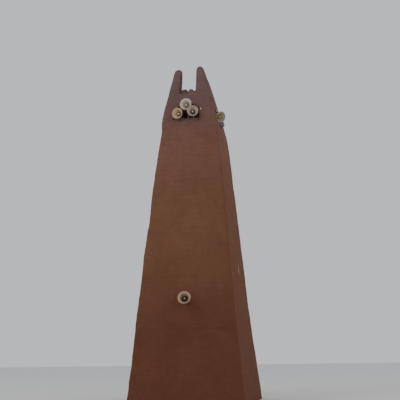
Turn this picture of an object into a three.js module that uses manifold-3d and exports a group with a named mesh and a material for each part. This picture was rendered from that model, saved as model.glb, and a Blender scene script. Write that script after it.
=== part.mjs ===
// A square battered mud-brick minaret with an open belfry, four corner prongs of masonry
// and re-entrant loudspeakers. Millimetres, +Z up. The origin is the centre of the base on
// the ground. The front wall faces -Y and the right wall faces +X.

import * as THREE from "three";
import { mergeVertices } from "three/addons/utils/BufferGeometryUtils.js";
import Module from "manifold-3d";

const wasm = await Module();
wasm.setup();

// Driving dimensions of the batter: the outer half width is a straight taper, with a flared
// foot below and a top that leans in.
const straightHalf = 1962;
const taperPerMillimetre = 0.0825;
const footFlare = 40;
const footFlareHeight = 4250;
const leanStart = 8000;
const leanPerSquareMetre = 16.2;

// Levels of the masonry, from the ground to the tips.
const doorHead = 1750;
const beamLedge = 9780;
const sillLevel = 10275;
const springLevel = 10640;
const crownLevel = 10905;
const roofLedge = 11050;
const roofLevel = 11250;
const crestLevel = 11410;
const merlonTip = 11600;

// Inner half widths: the shaft, then the belfry over the ledge that carries its floor, then
// the parapet over the ledge that carries the roof.
const shaftFootInner = 900;
const shaftHeadInner = 600;
const belfryInner = 720;
const belfryHeadInner = 580;
const parapetInner = 680;

const seam = 0.3;
const arrisRadius = 110;
const wallSteps = 9;
const doorWidth = 780;
const lintelHeight = 160;
const lintelBearing = 240;
const stepHeight = 80;
const floorSlab = 160;
const floorReach = 680;
const floorBeamRadius = 58;
const roofBeamRadius = 48;
const beamSpacing = 640;
const sillSlab = 40;
const sillNose = 6;
const crestOverlap = 50;
const merlonWidth = 250;
const merlonCentre = 65;
const merlonDepth = 90;

const sides = { front: 0, right: 1, back: 2, left: 3 };
const windows = {
  front: { centre: -43, half: 512 },
  right: { centre: -8, half: 548 },
  back: { centre: 0, half: 520 },
  left: { centre: 0, half: 520 },
};

// The prongs, by quarter turns from the front right corner: the height of the tip, how far
// the inner faces stand from the axis, and how far the two outer faces stray at the tip. The
// back left one has lost its upper part.
const prongs = [
  { name: "front_right_prong", tip: 12645, inner: 238, stray: [-80, 0] },
  { name: "back_right_prong", tip: 12520, inner: 290, stray: [0, -95] },
  { name: "back_left_prong", tip: 12160, inner: 350, stray: [0, 0] },
  { name: "front_left_prong", tip: 12580, inner: 342, stray: [0, 58] },
];

// All the loudspeakers are of one size.
const hornRadius = 220;
const hornDepth = 270;
const driverLength = 105;
const bracketBar = 36;

const render = { color: 0x6f4535, roughness: 0.95, metalness: 0 };
const paleRender = { color: 0x8c7f6c, roughness: 0.95, metalness: 0 };
const earth = { color: 0x7b6148, roughness: 1, metalness: 0 };
const palmWood = { color: 0x5a4330, roughness: 0.9, metalness: 0 };
const bellPaint = { color: 0xb9ab98, roughness: 0.5, metalness: 0.1 };
const driverPaint = { color: 0x7d6a52, roughness: 0.55, metalness: 0.2 };
const lampCover = { color: 0xd8d4cc, roughness: 0.35, metalness: 0 };

const tower = new THREE.Group();
tower.name = "minaret";

function outerHalf(z) {
  const flare = Math.max(0, 1 - z / footFlareHeight);
  const lean = Math.max(0, z - leanStart) / 1000;
  return straightHalf - taperPerMillimetre * z + footFlare * flare ** 2 - leanPerSquareMetre * lean ** 2;
}

function shaftInner(z) {
  return THREE.MathUtils.lerp(shaftFootInner, shaftHeadInner, z / beamLedge);
}

function addMesh(parent, name, geometry, finish) {
  const mesh = new THREE.Mesh(geometry, new THREE.MeshStandardMaterial(finish));
  mesh.name = name;
  parent.add(mesh);
  return mesh;
}

function toSolid(geometry) {
  const bare = geometry.clone();
  bare.deleteAttribute("normal");
  bare.deleteAttribute("uv");
  const merged = mergeVertices(bare, 0.001);
  return new wasm.Manifold(new wasm.Mesh({
    numProp: 3,
    vertProperties: new Float32Array(merged.attributes.position.array),
    triVerts: new Uint32Array(merged.index.array),
  }));
}

function toGeometry(solid) {
  const mesh = solid.getMesh();
  const geometry = new THREE.BufferGeometry();
  geometry.setAttribute("position", new THREE.BufferAttribute(mesh.vertProperties, 3));
  geometry.setIndex(new THREE.BufferAttribute(mesh.triVerts, 1));
  geometry.computeVertexNormals();
  return geometry;
}

// A box between two corners.
function slab(low, high) {
  const size = high.map((value, axis) => value - low[axis]);
  const box = new THREE.BoxGeometry(...size);
  return box.translate(...low.map((value, axis) => value + size[axis] / 2));
}

function turnedProfile(points, segments) {
  return new THREE.LatheGeometry(points.map(([r, y]) => new THREE.Vector2(r, y)), segments);
}

// One side of the square tower, as seen from the front: it follows the batter outside with
// rounded arrises, has its own inner half width at the bottom and the top, and is mitred at
// both corners.
function batteredWall(bottom, top, steps, innerBottom, innerTop) {
  const columns = 5;
  const geometry = new THREE.BoxGeometry(columns, 1, 1, columns, 1, steps);
  const position = geometry.attributes.position;
  const mitre = seam / Math.SQRT2;
  for (let i = 0; i < position.count; i += 1) {
    const rise = position.getZ(i) + 0.5;
    const z = THREE.MathUtils.lerp(bottom, top, rise);
    const column = position.getX(i);
    const arc = ((Math.abs(column) - 0.5) * Math.PI) / 8;
    const centre = outerHalf(z) - arrisRadius;
    const outerX = Math.sign(column) * (centre + arrisRadius * Math.sin(arc) - mitre);
    const outerY = -centre - arrisRadius * Math.cos(arc);
    const inner = THREE.MathUtils.lerp(innerBottom, innerTop, rise);
    const innerX = (column / (columns / 2)) * (inner - mitre);
    if (position.getY(i) < 0) position.setXYZ(i, outerX, outerY, z);
    else position.setXYZ(i, innerX, -inner, z);
  }
  return geometry;
}

function shaftWall(bottom, top, steps) {
  return batteredWall(bottom, top, steps, shaftInner(bottom), shaftInner(top));
}

function sideGroup(side) {
  const group = new THREE.Group();
  group.rotation.z = (sides[side] * Math.PI) / 2;
  tower.add(group);
  return group;
}

// Three whole walls, and the back one split beside and over its doorway.
function buildShaft() {
  for (const side of ["front", "right", "left"]) {
    addMesh(sideGroup(side), `${side}_wall`, shaftWall(0, beamLedge, wallSteps), render);
  }
  const back = sideGroup("back");
  const reach = 2500;
  const jamb = doorWidth / 2;
  const low = toSolid(shaftWall(0, doorHead, 2));
  const clearRight = toSolid(slab([-jamb, -reach, -1], [reach, 0, reach]));
  const clearLeft = toSolid(slab([-reach, -reach, -1], [jamb, 0, reach]));
  addMesh(back, "back_wall_right_of_door", toGeometry(low.subtract(clearRight)), render);
  addMesh(back, "back_wall_left_of_door", toGeometry(low.subtract(clearLeft)), render);

  const bearing = jamb + lintelBearing;
  const lintelTop = doorHead + seam + lintelHeight;
  const over = toSolid(shaftWall(doorHead + seam, beamLedge, wallSteps - 2));
  const pocket = toSolid(slab([-bearing - seam, -reach, 0], [bearing + seam, 0, lintelTop + seam]));
  addMesh(back, "back_wall_over_door", toGeometry(over.subtract(pocket)), render);

  const lintelFace = outerHalf(lintelTop) - 12;
  const lintelBack = shaftInner(doorHead);
  const lintel = slab([-bearing, -lintelFace, doorHead + seam], [bearing, -lintelBack, lintelTop]);
  addMesh(back, "door_lintel", lintel, palmWood);

  const threshold = slab(
    [seam - jamb, -outerHalf(stepHeight), 0],
    [jamb - seam, -shaftFootInner, stepHeight],
  );
  addMesh(back, "threshold", threshold, earth);
}

// The belfry opening seen from the front: straight jambs under a low segmental arch.
function windowCut({ centre, half }) {
  const rise = crownLevel - springLevel;
  const radius = (half ** 2 + rise ** 2) / (2 * rise);
  const swing = Math.asin(half / radius);
  const outline = new THREE.Shape();
  outline.moveTo(centre - half, sillLevel - sillSlab);
  outline.lineTo(centre + half, sillLevel - sillSlab);
  outline.lineTo(centre + half, springLevel);
  outline.absarc(centre, crownLevel - radius, radius, Math.PI / 2 - swing, Math.PI / 2 + swing, false);
  outline.closePath();
  const cut = new THREE.ExtrudeGeometry(outline, { depth: 1200, bevelEnabled: false, curveSegments: 5 });
  return cut.rotateX(Math.PI / 2);
}

function buildBelfry() {
  for (const side of Object.keys(sides)) {
    const group = sideGroup(side);
    const wall = toSolid(batteredWall(beamLedge + seam, roofLedge, 3, belfryInner, belfryHeadInner));
    const opening = toSolid(windowCut(windows[side]));
    addMesh(group, `${side}_belfry_wall`, toGeometry(wall.subtract(opening)), render);

    const { centre, half } = windows[side];
    const low = [centre - half + seam, -outerHalf(sillLevel) - sillNose, sillLevel - sillSlab + seam];
    const high = [centre + half - seam, -belfryHeadInner - 90, sillLevel];
    addMesh(group, `${side}_sill`, slab(low, high), paleRender);
  }
}

// Two palm trunks that rest on the ledges of the left and right walls.
function addBeams(place, ledge, radius, reach) {
  ["front", "back"].forEach((end, index) => {
    const beam = new THREE.CylinderGeometry(radius, radius, 2 * reach, 10).rotateZ(Math.PI / 2);
    const mesh = addMesh(tower, `${place}_beam_${end}`, beam, palmWood);
    mesh.position.set(0, (index - 0.5) * beamSpacing, ledge + radius + seam);
  });
}

function buildFloors() {
  const groundReach = shaftInner(stepHeight) - seam;
  const ground = slab([-groundReach, -groundReach, 0], [groundReach, groundReach, stepHeight]);
  addMesh(tower, "ground_floor", ground, earth);

  addBeams("floor", beamLedge, floorBeamRadius, belfryInner - 15);
  const floorUnder = beamLedge + 2 * (floorBeamRadius + seam);
  const floorTop = floorUnder + floorSlab;
  const floor = toSolid(slab([-floorReach, -floorReach, floorUnder], [floorReach, floorReach, floorTop]));
  const hatch = toSolid(slab([0, -230, beamLedge], [560, 230, sillLevel]));
  addMesh(tower, "belfry_floor", toGeometry(floor.subtract(hatch)), earth);

  addBeams("roof", roofLedge, roofBeamRadius, parapetInner - 15);
  const roofUnder = roofLedge + 2 * (roofBeamRadius + seam);
  const roofReach = parapetInner - seam;
  const roof = slab([-roofReach, -roofReach, roofUnder], [roofReach, roofReach, roofLevel]);
  addMesh(tower, "roof_slab", roof, earth);
}

function merlonGeometry() {
  const foot = crestLevel - 40;
  const shoulder = crestLevel + 20;
  const low = merlonCentre - merlonWidth / 2;
  const high = merlonCentre + merlonWidth / 2;
  const outline = new THREE.Shape();
  outline.moveTo(low, foot);
  outline.lineTo(high, foot);
  outline.lineTo(high, shoulder);
  outline.quadraticCurveTo(merlonCentre + merlonWidth / 4, merlonTip, merlonCentre, merlonTip);
  outline.quadraticCurveTo(merlonCentre - merlonWidth / 4, merlonTip, low, shoulder);
  outline.closePath();
  const shape = { depth: merlonDepth, bevelEnabled: false, curveSegments: 4 };
  return new THREE.ExtrudeGeometry(outline, shape).rotateX(Math.PI / 2).translate(0, -parapetInner - 10, 0);
}

// A tapering corner prong of masonry: a rounded square in plan, whose outer faces carry on
// the tower's batter and whose inner faces rise plumb to a finger-like tip. A grown one is
// larger all round by that much.
function prongGeometry({ tip, inner, stray }, grown = 0) {
  const shrinks = [1, 1, 1, 1, 1, 0.94, 0.82, 0.62, 0.3];
  const squareness = [7, 6, 5, 5, 4.5, 4, 3.5, 3, 2.5];
  const foot = roofLevel + seam;
  const shoulder = tip - 220;
  const straight = [0, 0.25, 0.5, 0.75].map((share) => THREE.MathUtils.lerp(foot, shoulder, share));
  const levels = [...straight, shoulder, tip - 120, tip - 55, tip - 15, tip];
  const steps = levels.length - 1;
  const geometry = new THREE.CylinderGeometry(1, 1, 1, 24, steps).rotateX(Math.PI / 2);
  const position = geometry.attributes.position;
  for (let i = 0; i < position.count; i += 1) {
    const x = position.getX(i);
    const y = position.getY(i);
    const ring = Math.round((position.getZ(i) + 0.5) * steps);
    const power = squareness[ring];
    const share = (levels[ring] - foot) / (tip - foot);
    const [outerX, outerY] = stray.map((amount) => outerHalf(levels[ring]) + amount * share);
    const spread = Math.hypot(x, y) || 1;
    const corner = (Math.abs(x / spread) ** power + Math.abs(y / spread) ** power) ** (1 / power);
    const sizeX = ((outerX - inner) / 2) * shrinks[ring] + grown;
    const sizeY = ((outerY - inner) / 2) * shrinks[ring] + grown;
    position.setXYZ(
      i,
      (outerX + inner) / 2 + (x * sizeX) / corner,
      (y * sizeY) / corner - (outerY + inner) / 2,
      levels[ring],
    );
  }
  return geometry;
}

function buildProngs() {
  prongs.forEach((prong, turn) => {
    addMesh(tower, prong.name, prongGeometry(prong), render).rotation.z = (turn * Math.PI) / 2;
  });
}

// A ring of low wall round the roof; between the prongs each side rises to a crest with one
// small rounded merlon.
function buildParapets() {
  const reach = 1000;
  for (const [side, turn] of Object.entries(sides)) {
    const right = prongs[turn];
    const left = prongs[(turn + 3) % 4];
    const notches = [
      slab([right.inner + crestOverlap, -reach, roofLevel], [reach, 0, crestLevel + 1]),
      slab([-reach, -reach, roofLevel], [-left.inner - crestOverlap, 0, crestLevel + 1]),
      prongGeometry(right, seam),
      prongGeometry(left, seam).rotateZ(-Math.PI / 2),
    ];
    const wall = toSolid(batteredWall(roofLedge + seam, crestLevel, 2, parapetInner, parapetInner));
    const crest = notches.reduce((solid, notch) => solid.subtract(toSolid(notch)), wall);
    addMesh(sideGroup(side), `${side}_parapet`, toGeometry(crest.add(toSolid(merlonGeometry()))), render);
  }
}

// The flared shell of a re-entrant loudspeaker, with its mouth at y = 0, its throat on -Y
// and a hole in its back plate for the stem.
function bellGeometry() {
  const wall = 5;
  const steps = 5;
  const throat = hornRadius * 0.42;
  const stemHole = hornRadius * 0.12;
  const lip = hornRadius - 8;
  const flare = (share) => throat + (lip - throat) * share ** 2.2;
  const outside = [];
  const inside = [];
  for (let i = 0; i <= steps; i += 1) {
    const share = i / steps;
    outside.push([flare(share) + wall, (share - 1) * hornDepth]);
    inside.unshift([flare(share), (share - 1) * (hornDepth - wall)]);
  }
  const rim = [[hornRadius, -6], [hornRadius, 5], [hornRadius - 6, 8]];
  const back = [[stemHole, wall - hornDepth], [stemHole, -hornDepth]];
  return turnedProfile([...outside, ...rim, ...inside, ...back, outside[0]], 20);
}

// The driver behind the bell, with the stem through its back plate and the bullet inside.
function driverGeometry() {
  const body = hornRadius * 0.23;
  const stem = hornRadius * 0.1;
  const bullet = hornRadius * 0.22;
  const front = -hornDepth - seam;
  const back = front - driverLength;
  return turnedProfile([
    [0, back], [body * 0.8, back], [body, back + 15], [body, front - 8], [body * 0.9, front],
    [stem, front], [stem, -hornDepth * 0.85], [bullet, -hornDepth * 0.75],
    [bullet, -hornDepth * 0.32], [bullet * 0.6, -hornDepth * 0.24], [0, -hornDepth * 0.2],
  ], 16);
}

// The bar and leg, or the bar and wall plate, that carry the driver at the given place.
function bracketBoxes({ x, y, z }, leg, plate) {
  const bar = bracketBar / 2;
  if (leg) {
    const [legX, legY] = leg;
    return [
      slab([legX - bar, legY - bar, sillLevel + seam], [legX + bar, legY + bar, z + bar]),
      slab([Math.min(x, legX) - bar, Math.min(y, legY) - bar, z - bar],
        [Math.max(x, legX) + bar, Math.max(y, legY) + bar, z + bar]),
    ];
  }
  return [
    slab([x - bar, y, z - bar], [x + bar, plate, z + bar]),
    slab([x - 70, plate - 30, z - 90], [x + 70, plate + 60, z + 90]),
  ];
}

// A loudspeaker at a mouth centre, turned about Z from the wall's normal and tilted down.
function addHorn(side, name, { mouth, turn, tilt, leg, plate }) {
  const yaw = THREE.MathUtils.degToRad(turn);
  const dip = THREE.MathUtils.degToRad(tilt);
  const level = Math.cos(dip);
  const aim = new THREE.Vector3(Math.sin(yaw) * level, -Math.cos(yaw) * level, -Math.sin(dip));
  const horn = new THREE.Group();
  horn.position.set(...mouth);
  horn.quaternion.setFromUnitVectors(new THREE.Vector3(0, 1, 0), aim);
  sideGroup(side).add(horn);
  horn.updateMatrix();

  const intoHorn = horn.matrix.clone().invert();
  const driverCentre = horn.position.clone().addScaledVector(aim, -hornDepth - driverLength / 2);
  let driver = toSolid(driverGeometry());
  for (const box of bracketBoxes(driverCentre, leg, plate)) {
    driver = driver.add(toSolid(box.applyMatrix4(intoHorn)));
  }
  if (plate) {
    const wall = shaftWall(0, beamLedge, wallSteps).translate(0, -seam, 0);
    driver = driver.subtract(toSolid(wall.applyMatrix4(intoHorn)));
  }
  addMesh(horn, `${name}_bell`, bellGeometry(), bellPaint);
  addMesh(horn, `${name}_driver`, toGeometry(driver), driverPaint);
}

function buildHorns() {
  addHorn("front", "front_left_horn", { mouth: [-365, -1224, 10444], turn: -2, tilt: 12, leg: [-350, -880] });
  addHorn("front", "front_top_horn", { mouth: [-50, -1202, 10796], turn: -7, tilt: 5, leg: [-30, -830] });
  addHorn("front", "front_right_horn", { mouth: [254, -1305, 10443], turn: 14, tilt: 7, leg: [190, -900] });
  addHorn("front", "lower_front_horn", { mouth: [58, -2060, 3471], turn: 7, tilt: -15, plate: -1640 });
  addHorn("right", "right_horn", { mouth: [-412, -1146, 10450], turn: -32, tilt: 12, leg: [-243, -875] });
  addHorn("back", "back_horn", { mouth: [0, -1210, 10450], turn: 0, tilt: 10, leg: [0, -860] });
  addHorn("left", "left_horn", { mouth: [60, -1200, 10450], turn: 8, tilt: 10, leg: [20, -860] });
}

// A small lamp on a short stem let up to the battered face.
function addLamp(side, name, across, z) {
  const out = outerHalf(z) + 55;
  const body = turnedProfile([[0, -56], [16, -50], [22, -32], [22, 26], [15, 44], [0, 50]], 12);
  body.rotateX(Math.PI / 2).translate(across, -out, z);
  const stem = slab([across - 12, -out, z - 12], [across + 12, 100 - out, z + 12]);
  const wall = batteredWall(beamLedge, roofLedge, 3, belfryInner, belfryHeadInner).translate(0, -seam, 0);
  const lamp = toSolid(body).add(toSolid(stem)).subtract(toSolid(wall));
  addMesh(sideGroup(side), name, toGeometry(lamp), lampCover);
}

buildShaft();
buildBelfry();
buildFloors();
buildProngs();
buildParapets();
buildHorns();
addLamp("front", "front_lamp", 505, 10614);
addLamp("right", "right_lamp", -545, 10665);

export default tower;
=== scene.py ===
"""Dresses a square mud-brick minaret with an open belfry, four prongs and loudspeakers.

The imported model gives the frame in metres: the front wall faces -Y, the right wall faces +X
and the origin is the centre of the base on the ground.
"""

from __future__ import annotations

import logging
import math
from contextlib import contextmanager
from dataclasses import dataclass, field
from enum import Enum
from typing import Callable, Iterator, NamedTuple, Sequence

import bmesh
import bpy
import numpy as np
from mathutils import Matrix, Vector, noise


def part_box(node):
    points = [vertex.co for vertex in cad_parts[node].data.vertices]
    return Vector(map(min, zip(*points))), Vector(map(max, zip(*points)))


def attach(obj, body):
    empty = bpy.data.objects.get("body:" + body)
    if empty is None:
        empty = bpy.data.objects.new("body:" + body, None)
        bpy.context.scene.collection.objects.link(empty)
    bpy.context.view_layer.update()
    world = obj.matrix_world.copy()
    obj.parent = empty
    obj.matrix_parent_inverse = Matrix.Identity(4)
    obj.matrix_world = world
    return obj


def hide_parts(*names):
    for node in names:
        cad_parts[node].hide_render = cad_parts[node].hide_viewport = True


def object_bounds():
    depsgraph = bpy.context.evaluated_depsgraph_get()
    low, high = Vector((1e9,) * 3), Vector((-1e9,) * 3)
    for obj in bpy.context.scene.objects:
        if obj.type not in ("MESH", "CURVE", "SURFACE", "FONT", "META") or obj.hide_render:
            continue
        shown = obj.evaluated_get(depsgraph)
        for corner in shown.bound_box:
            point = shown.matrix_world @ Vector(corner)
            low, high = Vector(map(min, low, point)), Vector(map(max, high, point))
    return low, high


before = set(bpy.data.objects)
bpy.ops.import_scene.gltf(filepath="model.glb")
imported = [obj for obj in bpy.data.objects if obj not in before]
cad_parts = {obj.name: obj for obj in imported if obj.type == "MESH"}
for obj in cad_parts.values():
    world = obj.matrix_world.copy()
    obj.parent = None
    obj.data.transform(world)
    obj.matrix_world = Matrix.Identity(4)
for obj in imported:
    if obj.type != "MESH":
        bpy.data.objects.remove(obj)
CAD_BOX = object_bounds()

log = logging.getLogger("minaret")

Colour = tuple[float, float, float]
Point = tuple[float, float, float]
Profile = Sequence[tuple[float, float]]
# A colour, and the most of it that shows.
Overlay = tuple[Colour, float]
# How fine a mottling is, and how strong.
Tone = tuple[float, float]

# The radius of a turned piece's closed ends, which merge to one point.
POLE = 1e-4
# The bells' attribute that holds each point's place from the bell's own mouth.
HORN_PLACE = "horn_place"
# Sets where noise_vector is sampled, which would otherwise follow the clock.
NOISE_SEED = 7


class Side(Enum):
    """The four sides of the tower, as quarter turns from the front."""

    FRONT = 0
    RIGHT = 1
    BACK = 2
    LEFT = 3

    @property
    def label(self) -> str:
        """The side's name in the model's nodes."""
        return self.name.lower()

    @property
    def turn(self) -> Matrix:
        """The rotation that takes the front to this side."""
        return Matrix.Rotation(self.value * math.pi / 2, 4, "Z")


@dataclass(frozen=True)
class Levels:
    """Heights of the masonry in metres."""

    door_head: float = 1.75
    ledge: float = 9.78
    sill: float = 10.275
    spring: float = 10.64
    crown: float = 10.905
    roof_ledge: float = 11.05
    roof: float = 11.25
    crest: float = 11.41


@dataclass(frozen=True)
class Batter:
    """How the outer face leans in: evenly, with a flared foot and a bowed head."""

    half: float = 1.962
    taper: float = 0.0825
    flare: float = 0.040
    flare_top: float = 4.25
    bow: float = 0.0162
    bow_foot: float = 8.0


@dataclass(frozen=True)
class WornCorner:
    """How the front sill is worn down towards its outer right corner."""

    start: float = -0.15
    run: float = 0.58
    edge: float = -0.93
    fall: float = 0.10
    drop: float = 0.055

    def at(self, x: float, y: float) -> float:
        """Gives the drop below the sill's level.

        Args:
            x: Place along the front.
            y: Place across the wall, which is negative outwards.

        Returns:
            The drop, which is 0 where the sill isn't worn.
        """
        along = max(0.0, min(1.0, (x - self.start) / self.run))
        return self.drop * along * max(0.0, (self.edge - y) / self.fall)


LEVELS = Levels()
BATTER = Batter()
WORN = WornCorner()

# By height above the ground: how far the hand-built tower strays to the right of its axis, and
# how far its half width strays from the even batter.
SWAY: Profile = (
    (0.0, 0.0), (2.4, -0.018), (3.0, -0.030), (3.6, -0.021), (4.4, -0.014), (5.2, -0.018), (6.3, 0.012),
    (7.4, 0.004), (8.6, 0.024), (9.25, 0.037), (9.85, 0.050), (10.15, 0.015), (10.4, -0.001),
    (10.8, -0.026), (11.4, -0.032),
)
SWELL: Profile = (
    (2.4, 0.0), (3.0, 0.007), (3.6, -0.004), (4.4, -0.002), (5.2, 0.007), (6.3, -0.020), (6.9, -0.015),
    (7.4, -0.001), (8.0, -0.019), (8.6, -0.022), (9.25, -0.017), (9.85, 0.006), (10.15, 0.028),
    (10.4, 0.028), (10.8, 0.012), (11.1, 0.0), (11.4, -0.012),
)


@dataclass(frozen=True)
class Ring:
    """A level rectangle that a block of masonry passes through."""

    z: float
    x0: float
    x1: float
    y0: float
    y1: float

    @property
    def centre(self) -> Vector:
        """The middle of the rectangle."""
        return Vector(((self.x0 + self.x1) / 2, (self.y0 + self.y1) / 2, self.z))

    @property
    def size(self) -> tuple[float, float]:
        """The width along X and along Y."""
        return self.x1 - self.x0, self.y1 - self.y0


def at_height(profile: Profile, z: float) -> float:
    """Reads a value that changes with the height.

    Args:
        profile: Heights and the values there.
        z: Height above the ground.

    Returns:
        The value at that height, in proportion between its neighbours.
    """
    heights, values = zip(*profile)
    return float(np.interp(z, heights, values))


def outer_half(z: float) -> float:
    """Gives the half width of the battered outside.

    Args:
        z: Height above the ground.

    Returns:
        The half width at that height.
    """
    flare = max(0.0, 1 - z / BATTER.flare_top)
    lean = max(0.0, z - BATTER.bow_foot)
    return BATTER.half - BATTER.taper * z + BATTER.flare * flare**2 - BATTER.bow * lean**2


# Modelling helpers


def pick(piece: bpy.types.Object | None) -> None:
    """Makes one piece the only selected and active one, or selects nothing for None.

    Args:
        piece: The piece, or None.
    """
    for other in bpy.context.selected_objects:
        other.select_set(False)
    if piece is not None:
        piece.select_set(True)
    bpy.context.view_layer.objects.active = piece


@contextmanager
def editing(piece: bpy.types.Object, mode: str = "FACE") -> Iterator[None]:
    """Opens a piece in edit mode with nothing selected, and closes it afterwards.

    Args:
        piece: The mesh object to edit.
        mode: VERT, EDGE or FACE.
    """
    pick(piece)
    bpy.ops.object.mode_set(mode="EDIT")
    bpy.ops.mesh.select_mode(type=mode)
    bpy.ops.mesh.select_all(action="DESELECT")
    yield
    bpy.ops.object.mode_set(mode="OBJECT")


def choose(piece: bpy.types.Object, kind: str, test: Callable) -> None:
    """Selects the vertices, edges or faces of an open mesh that pass a test.

    Args:
        piece: The piece that is in edit mode.
        kind: verts, edges or faces.
        test: Tells from a vertex, edge or face if it is wanted.
    """
    bpy.ops.mesh.select_all(action="DESELECT")
    mesh = bmesh.from_edit_mesh(piece.data)
    for part in getattr(mesh, kind):
        if test(part):
            part.select_set(True)
    mesh.select_flush_mode()
    bmesh.update_edit_mesh(piece.data)


def apply_modifier(piece: bpy.types.Object, kind: str, **settings: object) -> None:
    """Adds a modifier with these settings and applies it.

    Args:
        piece: The piece to change.
        kind: The modifier's type.
        **settings: Values of the modifier's own properties.
    """
    pick(piece)
    modifier = piece.modifiers.new(kind.title(), kind)
    for name, value in settings.items():
        setattr(modifier, name, value)
    bpy.ops.object.modifier_apply(modifier=modifier.name)


def named(piece: bpy.types.Object, name: str) -> bpy.types.Object:
    """Names a piece and its mesh alike, and returns the piece."""
    piece.name = piece.data.name = name
    return piece


def add_block(name: str, low: Sequence[float], high: Sequence[float]) -> bpy.types.Object:
    """Adds a cube primitive between two corners.

    Args:
        name: The name of the new piece.
        low: Its lowest corner.
        high: Its highest corner.

    Returns:
        The new piece, with its place in its mesh.
    """
    pick(None)
    centre = [(a + b) / 2 for a, b in zip(low, high)]
    size = [b - a for a, b in zip(low, high)]
    bpy.ops.mesh.primitive_cube_add(size=1.0, location=centre, scale=size)
    piece = named(bpy.context.object, name)
    bpy.ops.object.transform_apply(location=True, rotation=True, scale=True)
    return piece


def raise_block(name: str, rings: Sequence[Ring]) -> bpy.types.Object:
    """Models a block by extruding a cube's top face through level rectangles.

    Args:
        name: The name of the new piece.
        rings: The rectangles from the lowest to the highest.

    Returns:
        The new piece.
    """
    first, second = rings[0], rings[1]
    piece = add_block(name, (first.x0, first.y0, first.z), (first.x1, first.y1, second.z))
    with editing(piece):
        choose(piece, "faces", lambda face: face.normal.z > 0.9)
        for below, above in zip(rings, rings[1:]):
            if below is not first:
                rise = (0.0, 0.0, above.z - below.z)
                bpy.ops.mesh.extrude_region_move(TRANSFORM_OT_translate={"value": rise})
            ratio = [b / a for a, b in zip(below.size, above.size)]
            shift = above.centre - below.centre
            middle = (below.centre.x, below.centre.y, above.z)
            bpy.ops.transform.resize(value=(ratio[0], ratio[1], 1.0), center_override=middle)
            bpy.ops.transform.translate(value=(shift.x, shift.y, 0.0))
    return piece


def round_arrises(piece: bpy.types.Object, radius: float, segments: int = 4) -> None:
    """Bevels the upright edges of a block.

    Args:
        piece: The block.
        radius: The width of the bevel.
        segments: How many faces round each edge.
    """

    def upright(edge: bmesh.types.BMEdge) -> bool:
        """Tells if an edge rises more than it runs."""
        run = edge.verts[1].co - edge.verts[0].co
        return abs(run.z) > 0.5 * run.length

    with editing(piece, "EDGE"):
        choose(piece, "edges", upright)
        bpy.ops.mesh.bevel(offset=radius, segments=segments, affect="EDGES")


def cut(piece: bpy.types.Object, cutter: bpy.types.Object) -> None:
    """Takes the cutter's space out of a piece and removes the cutter."""
    apply_modifier(piece, "BOOLEAN", operation="DIFFERENCE", object=cutter, solver="EXACT")
    bpy.data.objects.remove(cutter)


def join(pieces: Sequence[bpy.types.Object]) -> bpy.types.Object:
    """Joins pieces into the first one.

    Args:
        pieces: The pieces, of which the first gives the name.

    Returns:
        The joined piece.
    """
    pick(pieces[0])
    for piece in pieces:
        piece.select_set(True)
    if len(pieces) > 1:
        bpy.ops.object.join()
    return pieces[0]


def turned(name: str, profile: Profile, segments: int = 48, hollow: bool = False) -> bpy.types.Object:
    """Turns a profile about Z by extruding a circle from ring to ring.

    Args:
        name: The name of the new piece.
        profile: Radius and height of each ring.
        segments: The number of sides.
        hollow: Whether the last ring closes onto the first one, as on a tube.

    Returns:
        The new piece, with outward faces.
    """
    pick(None)
    radius, height = profile[0]
    fill = "NOTHING" if hollow else "NGON"
    bpy.ops.mesh.primitive_circle_add(
        vertices=segments, radius=radius, fill_type=fill, location=(0, 0, height)
    )
    piece = named(bpy.context.object, name)
    bpy.ops.object.transform_apply(location=True, rotation=True, scale=True)
    with editing(piece, "EDGE"):
        bpy.ops.mesh.select_all(action="SELECT")
        for (r0, z0), (r1, z1) in zip(profile, profile[1:]):
            bpy.ops.mesh.extrude_region_move(TRANSFORM_OT_translate={"value": (0, 0, z1 - z0)})
            bpy.ops.transform.resize(value=(r1 / r0, r1 / r0, 1), center_override=(0, 0, z1))
        if hollow:
            choose(piece, "edges", lambda edge: edge.is_boundary)
            bpy.ops.mesh.bridge_edge_loops()
        bpy.ops.mesh.select_all(action="SELECT")
        bpy.ops.mesh.remove_doubles(threshold=2e-5)
        bpy.ops.mesh.normals_make_consistent(inside=False)
    return piece


def moved(piece: bpy.types.Object, matrix: Matrix) -> bpy.types.Object:
    """Moves a piece's mesh by a matrix.

    Args:
        piece: The piece.
        matrix: The move.

    Returns:
        The piece.
    """
    piece.data.transform(matrix)
    piece.data.update()
    return piece


def copy_piece(piece: bpy.types.Object, name: str) -> bpy.types.Object:
    """Copies a piece with a mesh of its own.

    Args:
        piece: The piece to copy.
        name: The copy's name.

    Returns:
        The copy.
    """
    twin = piece.copy()
    twin.data = piece.data.copy()
    bpy.context.scene.collection.objects.link(twin)
    return named(twin, name)


def subdivide(piece: bpy.types.Object, cuts: int) -> None:
    """Cuts every face of a piece into smaller ones.

    Args:
        piece: The piece.
        cuts: How many cuts each edge gets.
    """
    with editing(piece):
        bpy.ops.mesh.select_all(action="SELECT")
        bpy.ops.mesh.subdivide(number_cuts=cuts)


def roughen(piece: bpy.types.Object, size: float, depth: float, seed: float) -> None:
    """Moves each vertex by a smooth seeded noise, as hand work or growth does.

    Args:
        piece: The piece to change.
        size: The size of the noise's lumps.
        depth: The furthest that a vertex moves.
        seed: Sets one piece's noise apart from another's.
    """
    shift = Vector((seed * 7.1, seed * 3.3, seed * 5.7))
    for vertex in piece.data.vertices:
        push = noise.noise_vector(vertex.co / size + shift)
        vertex.co += push * depth


def smooth(piece: bpy.types.Object, angle: float) -> None:
    """Shades a piece smooth where its faces meet below an angle in degrees."""
    pick(piece)
    bpy.ops.object.shade_smooth_by_angle(angle=math.radians(angle))


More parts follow.
